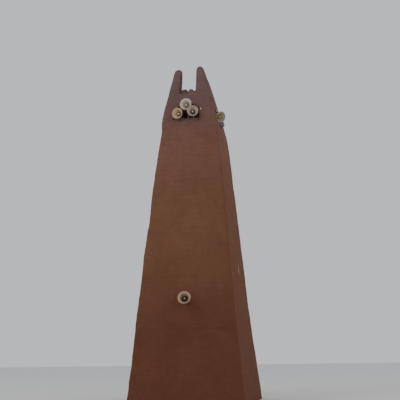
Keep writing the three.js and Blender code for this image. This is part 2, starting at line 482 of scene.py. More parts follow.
def finish_piece(
    piece: bpy.types.Object, nodes: Sequence[str], material: bpy.types.Material
) -> None:
    """Gives a piece its material and ties it to the model's nodes.

    Args:
        piece: The finished mesh.
        nodes: The nodes that it stands for.
        material: Its material.
    """
    piece.data.materials.clear()
    piece.data.materials.append(material)
    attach(piece, "root")
    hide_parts(*nodes)
    log.info("%s: %d faces", piece.name, len(piece.data.polygons))


# Node trees


Socket = bpy.types.NodeSocket
Sockets = bpy.types.bpy_prop_collection
Value = Socket | float | tuple

FLOAT = "NodeSocketFloat"
VECTOR = "NodeSocketVector"
COLOUR = "NodeSocketColor"


class Wiring:
    """Adds nodes to one tree and links them."""

    def __init__(self, tree: bpy.types.NodeTree) -> None:
        """Takes the tree to work on."""
        self.tree = tree

    def add(self, kind: str, **settings: object) -> bpy.types.Node:
        """Adds a node.

        Args:
            kind: The node's type, without its ShaderNode prefix.
            **settings: Values of the node's own properties.

        Returns:
            The node.
        """
        prefix = "" if kind.startswith("NodeGroup") else "ShaderNode"
        node = self.tree.nodes.new(prefix + kind)
        for name, value in settings.items():
            setattr(node, name, value)
        return node

    def feed(self, socket: Socket, value: Value) -> None:
        """Links a socket to an input or sets a constant on it.

        Args:
            socket: The input.
            value: A socket, a number, a vector or a colour.
        """
        if isinstance(value, bpy.types.NodeSocket):
            self.tree.links.new(value, socket)
        elif isinstance(value, tuple) and len(value) == 3 and socket.type == "RGBA":
            socket.default_value = (*value, 1.0)
        else:
            socket.default_value = value

    def math(self, operation: str, first: Value, second: Value = 0.0, third: Value = 0.5) -> Socket:
        """Adds a Math node.

        Args:
            operation: What it does.
            first: Its first value.
            second: Its second value.
            third: Its third value.

        Returns:
            The result.
        """
        node = self.add("Math", operation=operation)
        for socket, value in zip(node.inputs, (first, second, third)):
            self.feed(socket, value)
        return node.outputs[0]

    def total(self, *terms: tuple[Value, float]) -> Socket:
        """Adds values up by their weights.

        Args:
            *terms: Each value and its weight.

        Returns:
            The sum.
        """
        result: Value = 0.0
        for value, weight in terms:
            result = self.math("MULTIPLY_ADD", value, weight, result)
        return result

    def squares(self, first: Socket, second: Socket) -> Socket:
        """Adds up the squares of two values."""
        return self.math("MULTIPLY_ADD", first, first, self.math("MULTIPLY", second, second))

    def mix(self, factor: Value, first: Value, second: Value, blend: str = "MIX") -> Socket:
        """Mixes two colours.

        Args:
            factor: The share of the second colour.
            first: The first colour.
            second: The second colour.
            blend: How they blend.

        Returns:
            The mixed colour.
        """
        node = self.add("Mix", data_type="RGBA", blend_type=blend)
        self.feed(node.inputs[0], factor)
        self.feed(node.inputs[6], first)
        self.feed(node.inputs[7], second)
        return node.outputs[2]

    def stain(self, colour: Value, mask: Value, stain: Overlay) -> Socket:
        """Lays a colour over another where a mask is set: stains, and painted light and shade."""
        over, share = stain
        return self.mix(self.math("MULTIPLY", mask, share), colour, over)

    def noise(self, vector: Value, scale: float, detail: float = 4.0, rough: float = 0.55) -> Socket:
        """Adds a noise texture.

        Args:
            vector: The coordinate that it reads.
            scale: How fine it is.
            detail: How many finer layers it has.
            rough: How strong these are.

        Returns:
            Its factor.
        """
        node = self.add("TexNoise")
        for name, value in (("Vector", vector), ("Scale", scale), ("Detail", detail), ("Roughness", rough)):
            self.feed(node.inputs[name], value)
        return node.outputs["Fac"]

    def stretch(self, vector: Value, scale: Point) -> Socket:
        """Scales a coordinate along its axes.

        Args:
            vector: The coordinate.
            scale: The scale along each axis.

        Returns:
            The scaled coordinate.
        """
        node = self.add("Mapping")
        self.feed(node.inputs["Vector"], vector)
        node.inputs["Scale"].default_value = scale
        return node.outputs[0]

    def split(self, vector: Value) -> Sockets:
        """Separates a vector into its parts.

        Args:
            vector: The vector.

        Returns:
            The outputs, by the names X, Y and Z.
        """
        node = self.add("SeparateXYZ")
        self.feed(node.inputs[0], vector)
        return node.outputs

    def span(self, value: Value, low: float, high: float, start: float = 0.0, end: float = 1.0) -> Socket:
        """Maps a range of values smoothly onto another.

        Args:
            value: The value.
            low: Where the range starts.
            high: Where it ends.
            start: The result at its start.
            end: The result at its end.

        Returns:
            The mapped value.
        """
        node = self.add("MapRange", interpolation_type="SMOOTHSTEP")
        self.feed(node.inputs["Value"], value)
        for name, number in (("From Min", low), ("From Max", high), ("To Min", start), ("To Max", end)):
            node.inputs[name].default_value = number
        return node.outputs[0]

    def ramp(self, value: Value, stops: Sequence[tuple[float, Colour]]) -> Socket:
        """Colours a value.

        Args:
            value: The value.
            stops: Positions and their colours.

        Returns:
            The colour.
        """
        node = self.add("ValToRGB")
        self.feed(node.inputs[0], value)
        elements = node.color_ramp.elements
        while len(elements) < len(stops):
            elements.new(0.5)
        for element, (position, colour) in zip(elements, stops):
            element.position = position
            element.color = (*colour, 1.0)
        return node.outputs[0]

    def place(self) -> Socket:
        """The object coordinate."""
        return self.add("TexCoord").outputs["Object"]

    def vector(self, operation: str, first: Value, second: Value) -> bpy.types.Node:
        """Adds a Vector Math node of two values.

        Args:
            operation: What it does.
            first: Its first value.
            second: Its second value, which is the factor where it scales.

        Returns:
            The node.
        """
        node = self.add("VectorMath", operation=operation)
        self.feed(node.inputs[0], first)
        self.feed(node.inputs["Scale" if operation == "SCALE" else 1], second)
        return node

    def group(self, tree: bpy.types.NodeTree, **inputs: Value) -> bpy.types.Node:
        """Places a shared group with its own values.

        Args:
            tree: The group.
            **inputs: What feeds its inputs.

        Returns:
            The group's node.
        """
        node = self.add("Group", node_tree=tree)
        for name, value in inputs.items():
            self.feed(node.inputs[name], value)
        return node

    def spot(
        self, patch: bpy.types.NodeTree, place: Socket, where: tuple[Point, Point], ragged: float
    ) -> Socket:
        """Places one ragged patch.

        Args:
            patch: The patch's group.
            place: The object coordinate.
            where: Its middle and how far it reaches along each axis.
            ragged: How torn its edge is.

        Returns:
            Its mask.
        """
        centre, reach = where
        return self.group(patch, Place=place, Centre=centre, Reach=reach, Ragged=ragged).outputs["Mask"]


def new_group(name: str, inputs: dict[str, str], outputs: dict[str, str]) -> tuple[Wiring, dict, dict]:
    """Starts a shader node group.

    Args:
        name: The group's name.
        inputs: Socket types by input name.
        outputs: Socket types by output name.

    Returns:
        The wiring of its tree, its input values by name, and its output sockets by name.
    """
    tree = bpy.data.node_groups.new(name, "ShaderNodeTree")
    for sockets, direction in ((inputs, "INPUT"), (outputs, "OUTPUT")):
        for label, kind in sockets.items():
            tree.interface.new_socket(label, in_out=direction, socket_type=kind)
    wiring = Wiring(tree)
    source, sink = wiring.add("NodeGroupInput"), wiring.add("NodeGroupOutput")
    given = {label: source.outputs[label] for label in inputs}
    return wiring, given, {label: sink.inputs[label] for label in outputs}


class SharedEffects:
    """The node groups that more than one finish uses."""

    def __init__(self) -> None:
        """Builds each group once."""
        self.mottle = self._mottle()
        self.patch = self._patch()
        self.dust = self._dust()

    def weather(
        self, wiring: Wiring, place: Socket, colour: Value, tone: Tone, dust: Overlay
    ) -> tuple[Socket, Socket]:
        """Mottles a colour and lets dust settle on it.

        Args:
            wiring: The material's wiring.
            place: The object coordinate.
            colour: The clean colour.
            tone: How fine the mottling is, and how strong.
            dust: The dust's colour and amount.

        Returns:
            The colour, and the mask of the mottling.
        """
        toned = wiring.group(self.mottle, Colour=colour, Place=place, Size=tone[0], Spread=tone[1])
        toned_colour, mask = toned.outputs["Colour"], toned.outputs["Mask"]
        dusty = wiring.group(self.dust, Colour=toned_colour, Dust=dust[0], Place=place, Amount=dust[1])
        return dusty.outputs["Colour"], mask

    def _mottle(self) -> bpy.types.NodeTree:
        """Uneven tone in three sizes, which darkens and lightens a colour.

        Returns:
            The group.
        """
        wiring, given, out = new_group(
            "mottled_tone",
            {"Colour": COLOUR, "Place": VECTOR, "Size": FLOAT, "Spread": FLOAT},
            {"Colour": COLOUR, "Mask": FLOAT},
        )
        place = wiring.vector("SCALE", given["Place"], given["Size"]).outputs[0]
        broad = wiring.noise(place, 1.0, 3.0)
        close = wiring.noise(place, 4.7, 4.0, 0.6)
        fine = wiring.noise(place, 21.0, 3.0, 0.6)
        mask = wiring.span(wiring.total((broad, 0.5), (close, 0.3), (fine, 0.2)), 0.36, 0.64)
        tone = wiring.math("MULTIPLY_ADD", wiring.math("SUBTRACT", mask, 0.5), given["Spread"], 1.0)
        shade = wiring.add("CombineColor")
        for socket in shade.inputs:
            wiring.feed(socket, tone)
        wiring.feed(out["Colour"], wiring.mix(1.0, given["Colour"], shade.outputs[0], "MULTIPLY"))
        wiring.feed(out["Mask"], mask)
        return wiring.tree

    def _patch(self) -> bpy.types.NodeTree:
        """A soft ragged spot round a point.

        Returns:
            The group.
        """
        wiring, given, out = new_group(
            "ragged_patch",
            {"Place": VECTOR, "Centre": VECTOR, "Reach": VECTOR, "Ragged": FLOAT},
            {"Mask": FLOAT},
        )
        offset = wiring.vector("SUBTRACT", given["Place"], given["Centre"]).outputs[0]
        share = wiring.vector("DIVIDE", offset, given["Reach"]).outputs[0]
        distance = wiring.add("VectorMath", operation="LENGTH")
        wiring.feed(distance.inputs[0], share)
        frayed = wiring.noise(given["Place"], 14.0, 4.0)
        torn = wiring.math("MULTIPLY_ADD", frayed, given["Ragged"], distance.outputs["Value"])
        wiring.feed(out["Mask"], wiring.span(torn, 1.35, 0.75))
        return wiring.tree

    def _dust(self) -> bpy.types.NodeTree:
        """Dust that lies on what faces up and in ragged blots elsewhere.

        Returns:
            The group.
        """
        wiring, given, out = new_group(
            "settled_dust",
            {"Colour": COLOUR, "Dust": COLOUR, "Place": VECTOR, "Amount": FLOAT},
            {"Colour": COLOUR, "Mask": FLOAT},
        )
        facing = wiring.split(wiring.add("NewGeometry").outputs["Normal"])
        up = wiring.span(facing["Z"], 0.05, 0.9)
        blots = wiring.span(wiring.noise(given["Place"], 17.0, 5.0, 0.65), 0.42, 0.68)
        lying = wiring.math("MULTIPLY", wiring.total((up, 0.7), (blots, 0.45)), given["Amount"])
        mask = wiring.math("MINIMUM", lying, 1.0)
        wiring.feed(out["Colour"], wiring.mix(mask, given["Colour"], given["Dust"]))
        wiring.feed(out["Mask"], mask)
        return wiring.tree


class Coat(NamedTuple):
    """What a finish feeds to its shader; the depth of its relief is in metres."""

    colour: Socket
    roughness: Socket
    relief: Socket
    depth: float


@dataclass(frozen=True)
class Finish:
    """What every finish shares: its name, its gloss and the shader at the end of its tree."""

    name: str
    gloss: float = 0.5

    def coat(self, wiring: Wiring, place: Socket, effects: SharedEffects) -> Coat:
        """Wires the finish's own pattern.

        Args:
            wiring: The material's wiring.
            place: The object coordinate.
            effects: The shared node groups.

        Returns:
            The colour, the roughness and the relief.
        """
        raise NotImplementedError

    def make(self, effects: SharedEffects) -> bpy.types.Material:
        """Builds the material.

        Args:
            effects: The shared node groups.

        Returns:
            The material, with the coat on its Principled shader.
        """
        material = bpy.data.materials.new(self.name)
        material.use_nodes = True
        wiring = Wiring(material.node_tree)
        shader = material.node_tree.nodes["Principled BSDF"]
        shader.inputs["Specular IOR Level"].default_value = self.gloss
        coat = self.coat(wiring, wiring.place(), effects)
        bump = wiring.add("Bump")
        bump.inputs["Distance"].default_value = coat.depth
        bump.inputs["Strength"].default_value = 1.0
        wiring.feed(bump.inputs["Height"], coat.relief)
        wiring.feed(shader.inputs["Normal"], bump.outputs[0])
        wiring.feed(shader.inputs["Base Color"], coat.colour)
        wiring.feed(shader.inputs["Roughness"], coat.roughness)
        return material


@dataclass(frozen=True)
class MudRender(Finish):
    """Red-ochre mud, smoothed by hand in lifts, darker towards the foot, with painted light and shade on its
    right side and inside the belfry.
    """

    gloss: float = 0.25
    tones: tuple[tuple[float, Colour], ...] = (
        (2.5, (0.133, 0.049, 0.0262)),
        (4.5, (0.167, 0.074, 0.039)),
        (7.2, (0.180, 0.083, 0.047)),
        (9.5, (0.186, 0.085, 0.059)),
        (11.2, (0.143, 0.089, 0.088)),
        (12.3, (0.160, 0.099, 0.104)),
    )
    top: float = 12.6
    lifts: tuple[float, ...] = (2.45, 4.22, 5.97, 7.75, 9.41)
    # The redder colour, laid in broad patches and as painted warm light on what faces right.
    warm_tone_and_light: Colour = (0.150, 0.049, 0.020)
    warm_patches: float = 0.16
    # Painted light: how much warm light is painted on what faces right, low down.
    right_warm_light: float = 0.50
    # Painted shade: darker towards the right corner and on the right face, low down.
    dull: Overlay = ((0.060, 0.034, 0.020), 0.10)
    streaks: Overlay = ((0.105, 0.045, 0.028), 0.20)
    courses: Overlay = ((0.09, 0.042, 0.028), 0.12)
    joints: Overlay = ((0.07, 0.030, 0.020), 0.15)
    cracks: Overlay = ((0.05, 0.022, 0.015), 0.22)
    straw: Overlay = ((0.42, 0.27, 0.175), 0.32)
    pits: Overlay = ((0.055, 0.024, 0.016), 0.35)
    chip: Overlay = ((0.42, 0.27, 0.175), 1.0)
    chip_spot: tuple[Point, Point] = ((1.62, 0.13, 4.62), (0.35, 0.055, 0.24))
    # A darker olive patch high on the back right prong.
    olive_patch: Overlay = ((0.075, 0.072, 0.045), 0.6)
    olive_patch_spot: tuple[Point, Point] = ((0.52, 0.55, 12.2), (0.3, 0.3, 0.3))
    # Painted light: a paler colour inside the belfry and deep in its windows stands in for light bounced
    # inside.
    painted_fill_light: Colour = (0.46, 0.38, 0.39)
    painted_fill_share: float = 0.80

    def coat(self, wiring: Wiring, place: Socket, effects: SharedEffects) -> Coat:
        """Wires the mud's tones, its stains, its painted light and shade in order, and its relief.

        Args:
            wiring: The material's wiring.
            place: The object coordinate.
            effects: The shared node groups.

        Returns:
            The colour, the roughness and the relief.
        """
        parts = wiring.split(place)
        share = wiring.math("DIVIDE", parts["Z"], self.top)
        colour = wiring.ramp(share, [(z / self.top, tone) for z, tone in self.tones])
        toned = wiring.group(effects.mottle, Colour=colour, Place=place, Size=1.1, Spread=0.20)
        lower = wiring.span(parts["Z"], 6.5, 9.5, 1.0, 0.4)
        colour = wiring.mix(self.warmth_and_right_light(wiring, place, lower), toned.outputs["Colour"], self.warm_tone_and_light)
        streaks = wiring.noise(wiring.stretch(place, (5.0, 5.0, 0.35)), 1.0, 4.0, 0.6)
        courses = wiring.noise(wiring.stretch(place, (0.7, 0.7, 12.0)), 1.0, 3.0, 0.6)
        straw = wiring.noise(wiring.stretch(place, (38.0, 38.0, 90.0)), 1.0, 2.0)
        joints = self.joint_lines(wiring, place, parts["Z"])
        cracks = self.crack_lines(wiring, place)
        pits = wiring.span(wiring.noise(place, 52.0, 2.0), 0.36, 0.28)
        for mask, stain in (
            # Painted shade towards the right corner and on the right face, low down.
            (wiring.math("MULTIPLY", wiring.span(parts["X"], 0.1, 1.5), lower), self.dull),
            (wiring.span(streaks, 0.52, 0.75), self.streaks),
            (wiring.span(courses, 0.42, 0.66), self.courses),
            (joints, self.joints),
            (cracks, self.cracks),
            (wiring.span(straw, 0.68, 0.76), self.straw),
            (pits, self.pits),
            (wiring.spot(effects.patch, place, self.chip_spot, 0.5), self.chip),
            # The darker olive patch high on the back right prong.
            (wiring.spot(effects.patch, place, self.olive_patch_spot, 0.6), self.olive_patch),
            # Painted light inside the belfry and deep in its windows.
            (self.inside(wiring, parts), (self.painted_fill_light, self.painted_fill_share)),
        ):
            colour = wiring.stain(colour, mask, stain)
        relief = wiring.total(
            (wiring.noise(wiring.stretch(place, (3.0, 3.0, 4.6)), 1.0, 3.0, 0.5), 0.62),
            (wiring.noise(place, 24.0, 5.0, 0.7), 0.36),
            (wiring.noise(place, 140.0, 3.0, 0.6), 0.10),
            (courses, 0.16),
            (joints, -0.22),
            (cracks, -0.12),
            (pits, -0.14),
        )
        roughness = wiring.span(wiring.noise(place, 30.0), 0.2, 0.8, 0.84, 0.98)
        return Coat(colour, roughness, relief, 0.03)

    def warmth_and_right_light(self, wiring: Wiring, place: Socket, lower: Socket) -> Socket:
        """Masks the redder mud in broad patches, and the painted warm light on what faces right.

        Args:
            wiring: The material's wiring.
            place: The object coordinate.
            lower: Fades the painted light on what faces right towards the belfry.

        Returns:
            The share of the redder colour.
        """
        patches = wiring.noise(wiring.stretch(place, (0.7, 0.7, 0.45)), 1.0, 3.0)
        facing = wiring.split(wiring.add("TexCoord").outputs["Normal"])
        # Painted light: warmer on what faces right, less so towards the belfry.
        right_lit = wiring.math("MULTIPLY", wiring.span(facing["X"], 0.5, 0.95), lower)
        return wiring.total(
            (wiring.span(patches, 0.45, 0.62), self.warm_patches), (right_lit, self.right_warm_light)
        )

    def inside(self, wiring: Wiring, parts: Sockets) -> Socket:
        """Masks the painted light inside the belfry and in the depth of its windows, a paler colour in place
        of light bounced inside.

        Args:
            wiring: The material's wiring.
            parts: The object coordinate, separated.

        Returns:
            A mask that grows with the depth behind the outer face, from the belfry's floor to its roof.
        """
        height = parts["Z"]
        lean = wiring.math("MAXIMUM", wiring.math("SUBTRACT", height, BATTER.bow_foot), 0.0)
        straight = wiring.math("MULTIPLY_ADD", height, -BATTER.taper, BATTER.half)
        face = wiring.total((straight, 1.0), (wiring.math("MULTIPLY", lean, lean), -BATTER.bow))
        across, along = (wiring.math("ABSOLUTE", parts[axis]) for axis in "XY")
        depth = wiring.math("SUBTRACT", face, wiring.math("MAXIMUM", across, along))
        between = wiring.math("MULTIPLY", wiring.span(height, 11.10, 11.02), wiring.span(height, 9.50, 9.78))
        return wiring.math("MULTIPLY", wiring.span(depth, 0.16, 0.40), between)

    def joint_lines(self, wiring: Wiring, place: Socket, height: Socket) -> Socket:
        """Draws the faint level joints between the lifts.

        Args:
            wiring: The material's wiring.
            place: The object coordinate.
            height: Its Z.

        Returns:
            A mask that is 1 on a joint.
        """
        drift = wiring.math("SUBTRACT", wiring.noise(place, 1.3, 3.0), 0.5)
        level = wiring.math("MULTIPLY_ADD", drift, 0.14, height)
        away = [wiring.math("ABSOLUTE", wiring.math("SUBTRACT", level, lift)) for lift in self.lifts]
        lines = wiring.total(*((wiring.span(distance, 0.035, 0.004), 1.0) for distance in away))
        return wiring.math("MULTIPLY", lines, wiring.span(wiring.noise(place, 2.6, 2.0), 0.35, 0.6))

    def crack_lines(self, wiring: Wiring, place: Socket) -> Socket:
        """Draws thin drying cracks in places.

        Args:
            wiring: The material's wiring.
            place: The object coordinate.

        Returns:
            A mask that is 1 in a crack.
        """
        warp = wiring.add("TexNoise")
        wiring.feed(warp.inputs["Vector"], place)
        warp.inputs["Scale"].default_value = 2.2
        bend = wiring.add("VectorMath", operation="MULTIPLY_ADD")
        wiring.feed(bend.inputs[0], warp.outputs["Color"])
        bend.inputs[1].default_value = (0.5, 0.5, 0.5)
        wiring.feed(bend.inputs[2], place)
        cells = wiring.add("TexVoronoi", feature="DISTANCE_TO_EDGE")
        wiring.feed(cells.inputs["Vector"], bend.outputs[0])
        cells.inputs["Scale"].default_value = 1.1
        thin = wiring.span(cells.outputs["Distance"], 0.010, 0.002)
        return wiring.math("MULTIPLY", thin, wiring.span(wiring.noise(place, 0.8, 2.0), 0.60, 0.72))


@dataclass(frozen=True)
class LimeWash(Finish):
    """A worn pale grey-green wash on a mud sill."""

    wash: Colour = (0.165, 0.135, 0.100)
    under: Colour = (0.135, 0.075, 0.055)
    tone: Tone = (3.0, 0.35)
    dust: Overlay = ((0.24, 0.17, 0.12), 0.35)

    def coat(self, wiring: Wiring, place: Socket, effects: SharedEffects) -> Coat:
        """Wires the wash and the mud where it is worn off.

        Args:
            wiring: The material's wiring.
            place: The object coordinate.
            effects: The shared node groups.

        Returns:
            The colour, the roughness and the relief.
        """
        worn = wiring.span(wiring.noise(place, 9.0, 5.0, 0.65), 0.50, 0.62)
        colour = wiring.mix(worn, self.wash, self.under)
        colour, _ = effects.weather(wiring, place, colour, self.tone, self.dust)
        relief = wiring.total((wiring.noise(place, 26.0, 5.0, 0.7), 1.0), (worn, -0.6))
        return Coat(colour, wiring.span(worn, 0.0, 1.0, 0.82, 0.95), relief, 0.006)


@dataclass(frozen=True)
class TroddenEarth(Finish):
    """Packed earth floors with a paler worn middle, and painted light that makes what faces down paler."""

    earth: Colour = (0.24, 0.145, 0.095)
    worn: Overlay = ((0.36, 0.25, 0.17), 0.6)
    pebbles: Overlay = ((0.45, 0.38, 0.30), 0.5)
    # Painted light: what faces down is paler, in place of light bounced up inside the tower.
    painted_underside_light: Colour = (0.62, 0.54, 0.56)

    def coat(self, wiring: Wiring, place: Socket, effects: SharedEffects) -> Coat:
        """Wires the earth, its pebbles and the painted light on what faces down.

        Args:
            wiring: The material's wiring.
            place: The object coordinate.
            effects: The shared node groups.

        Returns:
            The colour, the roughness and the relief.
        """
        parts = wiring.split(place)
        middle = wiring.span(wiring.squares(parts["X"], parts["Y"]), 0.5, 0.02)
        colour = wiring.stain(self.earth, middle, self.worn)
        toned = wiring.group(effects.mottle, Colour=colour, Place=place, Size=2.2, Spread=0.5)
        pebbles = wiring.span(wiring.noise(place, 55.0, 2.0), 0.66, 0.72)
        colour = wiring.stain(toned.outputs["Colour"], pebbles, self.pebbles)
        facing = wiring.split(wiring.add("NewGeometry").outputs["Normal"])
        # Painted light: paler on what faces down.
        colour = wiring.mix(wiring.span(facing["Z"], -0.3, -0.8), colour, self.painted_underside_light)
        roughness = wiring.span(toned.outputs["Mask"], 0.0, 1.0, 0.88, 0.99)
        relief = wiring.total((wiring.noise(place, 12.0, 6.0, 0.7), 1.0), (pebbles, 0.3))
        return Coat(colour, roughness, relief, 0.014)


@dataclass(frozen=True)
class PalmTimber(Finish):
    """Dry fibrous palm trunk; the grain runs along X."""

    light: Colour = (0.29, 0.21, 0.14)
    dark: Colour = (0.095, 0.064, 0.044)
    scarred: float = 0.7
    tone: Tone = (3.5, 0.4)
    dust: Overlay = ((0.34, 0.22, 0.15), 0.6)

    def coat(self, wiring: Wiring, place: Socket, effects: SharedEffects) -> Coat:
        """Wires the fibres and the ring scars.

        Args:
            wiring: The material's wiring.
            place: The object coordinate.
            effects: The shared node groups.

        Returns:
            The colour, the roughness and the relief.
        """
        fibres = wiring.noise(wiring.stretch(place, (5.0, 95.0, 95.0)), 1.0, 5.0, 0.7)
        scars = wiring.noise(wiring.stretch(place, (26.0, 6.0, 6.0)), 1.0, 3.0, 0.6)
        colour = wiring.mix(wiring.span(fibres, 0.32, 0.68), self.dark, self.light)
        colour = wiring.stain(colour, wiring.span(scars, 0.58, 0.70), (self.dark, self.scarred))
        colour, _ = effects.weather(wiring, place, colour, self.tone, self.dust)
        relief = wiring.total((fibres, 1.0), (scars, -0.7))
        return Coat(colour, wiring.span(fibres, 0.2, 0.8, 0.75, 0.96), relief, 0.008)


@dataclass(frozen=True)
class BellEnamel(Finish):
    """Aged enamel on a loudspeaker's bell: a rim, a lining and a throat, with painted shade and dirt round
    the bullet and painted shade on its lower side.
    """

    rim: Colour = (0.50, 0.40, 0.30)
    lining: Colour = (0.36, 0.30, 0.20)
    throat: Colour = (0.10, 0.075, 0.050)
    # Painted shade and dirt: the hollow colour darkens a ring round the bullet deep in the throat.
    hollow: Colour = (0.070, 0.052, 0.046)
    ring_shade_and_dirt: float = 0.6
    # Painted shade: the bell's lower side is darker, as light falls from above.
    low_side_shade_colour: Colour = (0.105, 0.080, 0.070)
    low_side_shade: float = 0.38
    rusty: Colour = (0.20, 0.085, 0.035)
    rust: float = 0.25
    dust: Overlay = ((0.40, 0.29, 0.20), 0.30)
    radius: float = 0.220

    def coat(self, wiring: Wiring, place: Socket, effects: SharedEffects) -> Coat:
        """Wires the bell's zones by the distance from its own axis, their dirt and their painted shade.

        Args:
            wiring: The material's wiring.
            place: The object coordinate.
            effects: The shared node groups.

        Returns:
            The colour, the roughness and the relief.
        """
        local = wiring.add("Attribute", attribute_name=HORN_PLACE).outputs["Vector"]
        parts = wiring.split(local)
        away = wiring.math("SQRT", wiring.squares(parts["X"], parts["Y"]))
        share = wiring.math("DIVIDE", away, self.radius)
        colour = wiring.mix(wiring.span(share, 0.44, 0.54), self.throat, self.lining)
        # Painted shade and dirt in the ring round the bullet.
        shaded_ring = wiring.math("MULTIPLY", wiring.span(share, 0.02, 0.10), wiring.span(share, 0.44, 0.38))
        colour = wiring.stain(colour, shaded_ring, (self.hollow, self.ring_shade_and_dirt))
        colour = wiring.mix(wiring.span(share, 0.64, 0.84), colour, self.rim)
        # Painted shade on the bell's lower side, towards its lower right.
        low = wiring.total((parts["X"], 0.5 / self.radius), (parts["Y"], -1 / self.radius))
        colour = wiring.stain(colour, wiring.span(low, 0.0, 0.9), (self.low_side_shade_colour, self.low_side_shade))
        toned = wiring.group(effects.mottle, Colour=colour, Place=place, Size=7.0, Spread=0.28)
        runs = wiring.noise(wiring.stretch(local, (34.0, 7.0, 20.0)), 1.0, 4.0, 0.6)
        rust = wiring.span(runs, 0.55, 0.72)
        colour = wiring.stain(toned.outputs["Colour"], rust, (self.rusty, self.rust))
        dust, amount = self.dust
        dusty = wiring.group(effects.dust, Colour=colour, Dust=dust, Place=place, Amount=amount)
        roughness = wiring.span(wiring.noise(place, 40.0, 3.0), 0.2, 0.8, 0.42, 0.70)
        relief = wiring.total((wiring.noise(local, 9.0, 3.0), 1.0), (wiring.noise(local, 160.0, 2.0), 0.08))
        return Coat(dusty.outputs["Colour"], roughness, relief, 0.004)


@dataclass(frozen=True)
class DullMetal(Finish):
    """Painted metal of the drivers, bullets, brackets and lamp fittings."""

    paint: Colour = (0.20, 0.155, 0.11)
    bare: Colour = (0.30, 0.24, 0.18)
    chalked: float = 0.6
    rusty: Colour = (0.17, 0.062, 0.026)
    rust: float = 0.4
    tone: Tone = (9.0, 0.3)
    dust: Overlay = ((0.40, 0.29, 0.20), 0.5)

    def coat(self, wiring: Wiring, place: Socket, effects: SharedEffects) -> Coat:
        """Wires the blotched paint and the rust that breaks through it.

        Args:
            wiring: The material's wiring.
            place: The object coordinate.
            effects: The shared node groups.

        Returns:
            The colour, the roughness and the relief.
        """
        blotches = wiring.noise(place, 24.0, 5.0, 0.7)
        colour = wiring.stain(self.paint, wiring.span(blotches, 0.45, 0.62), (self.bare, self.chalked))
        scale = wiring.span(wiring.noise(place, 46.0, 4.0, 0.65), 0.54, 0.64)
        colour = wiring.stain(colour, scale, (self.rusty, self.rust))
        colour, _ = effects.weather(wiring, place, colour, self.tone, self.dust)
        relief = wiring.total((blotches, 1.0), (scale, 0.5))
        return Coat(colour, wiring.span(blotches, 0.3, 0.7, 0.50, 0.82), relief, 0.0016)


@dataclass(frozen=True)
class LampCover(Finish):
    """Weathered off-white plastic."""

    white: Colour = (0.58, 0.49, 0.47)
    tone: Tone = (12.0, 0.16)
    dust: Overlay = ((0.50, 0.38, 0.28), 0.5)

    def coat(self, wiring: Wiring, place: Socket, effects: SharedEffects) -> Coat:
        """Wires the plastic, duller where it is mottled.

        Args:
            wiring: The material's wiring.
            place: The object coordinate.
            effects: The shared node groups.

        Returns:
            The colour, the roughness and the relief.
        """
        colour, mask = effects.weather(wiring, place, self.white, self.tone, self.dust)
        return Coat(colour, wiring.span(mask, 0.0, 1.0, 0.30, 0.55), wiring.noise(place, 60.0, 3.0), 0.0008)


# The masonry


@dataclass(frozen=True)
class Opening:
    """A belfry window: the middle and half of its width, seen from its own side."""

    centre: float
    half: float


@dataclass(frozen=True)
class Prong:
    """A corner prong, by quarter turns from the front right corner.

    Its inner faces stand this far from the axis, and further at the foot by its spread. Its outer
    faces stray from the walls by these offsets along X and Y, at its tip and at its foot.
    """

    name: str
    turns: int
    tip: float
    inner: float
    stray: tuple[float, float]
    spread: float = 0.0
    foot: tuple[float, float] = (0.0, 0.0)


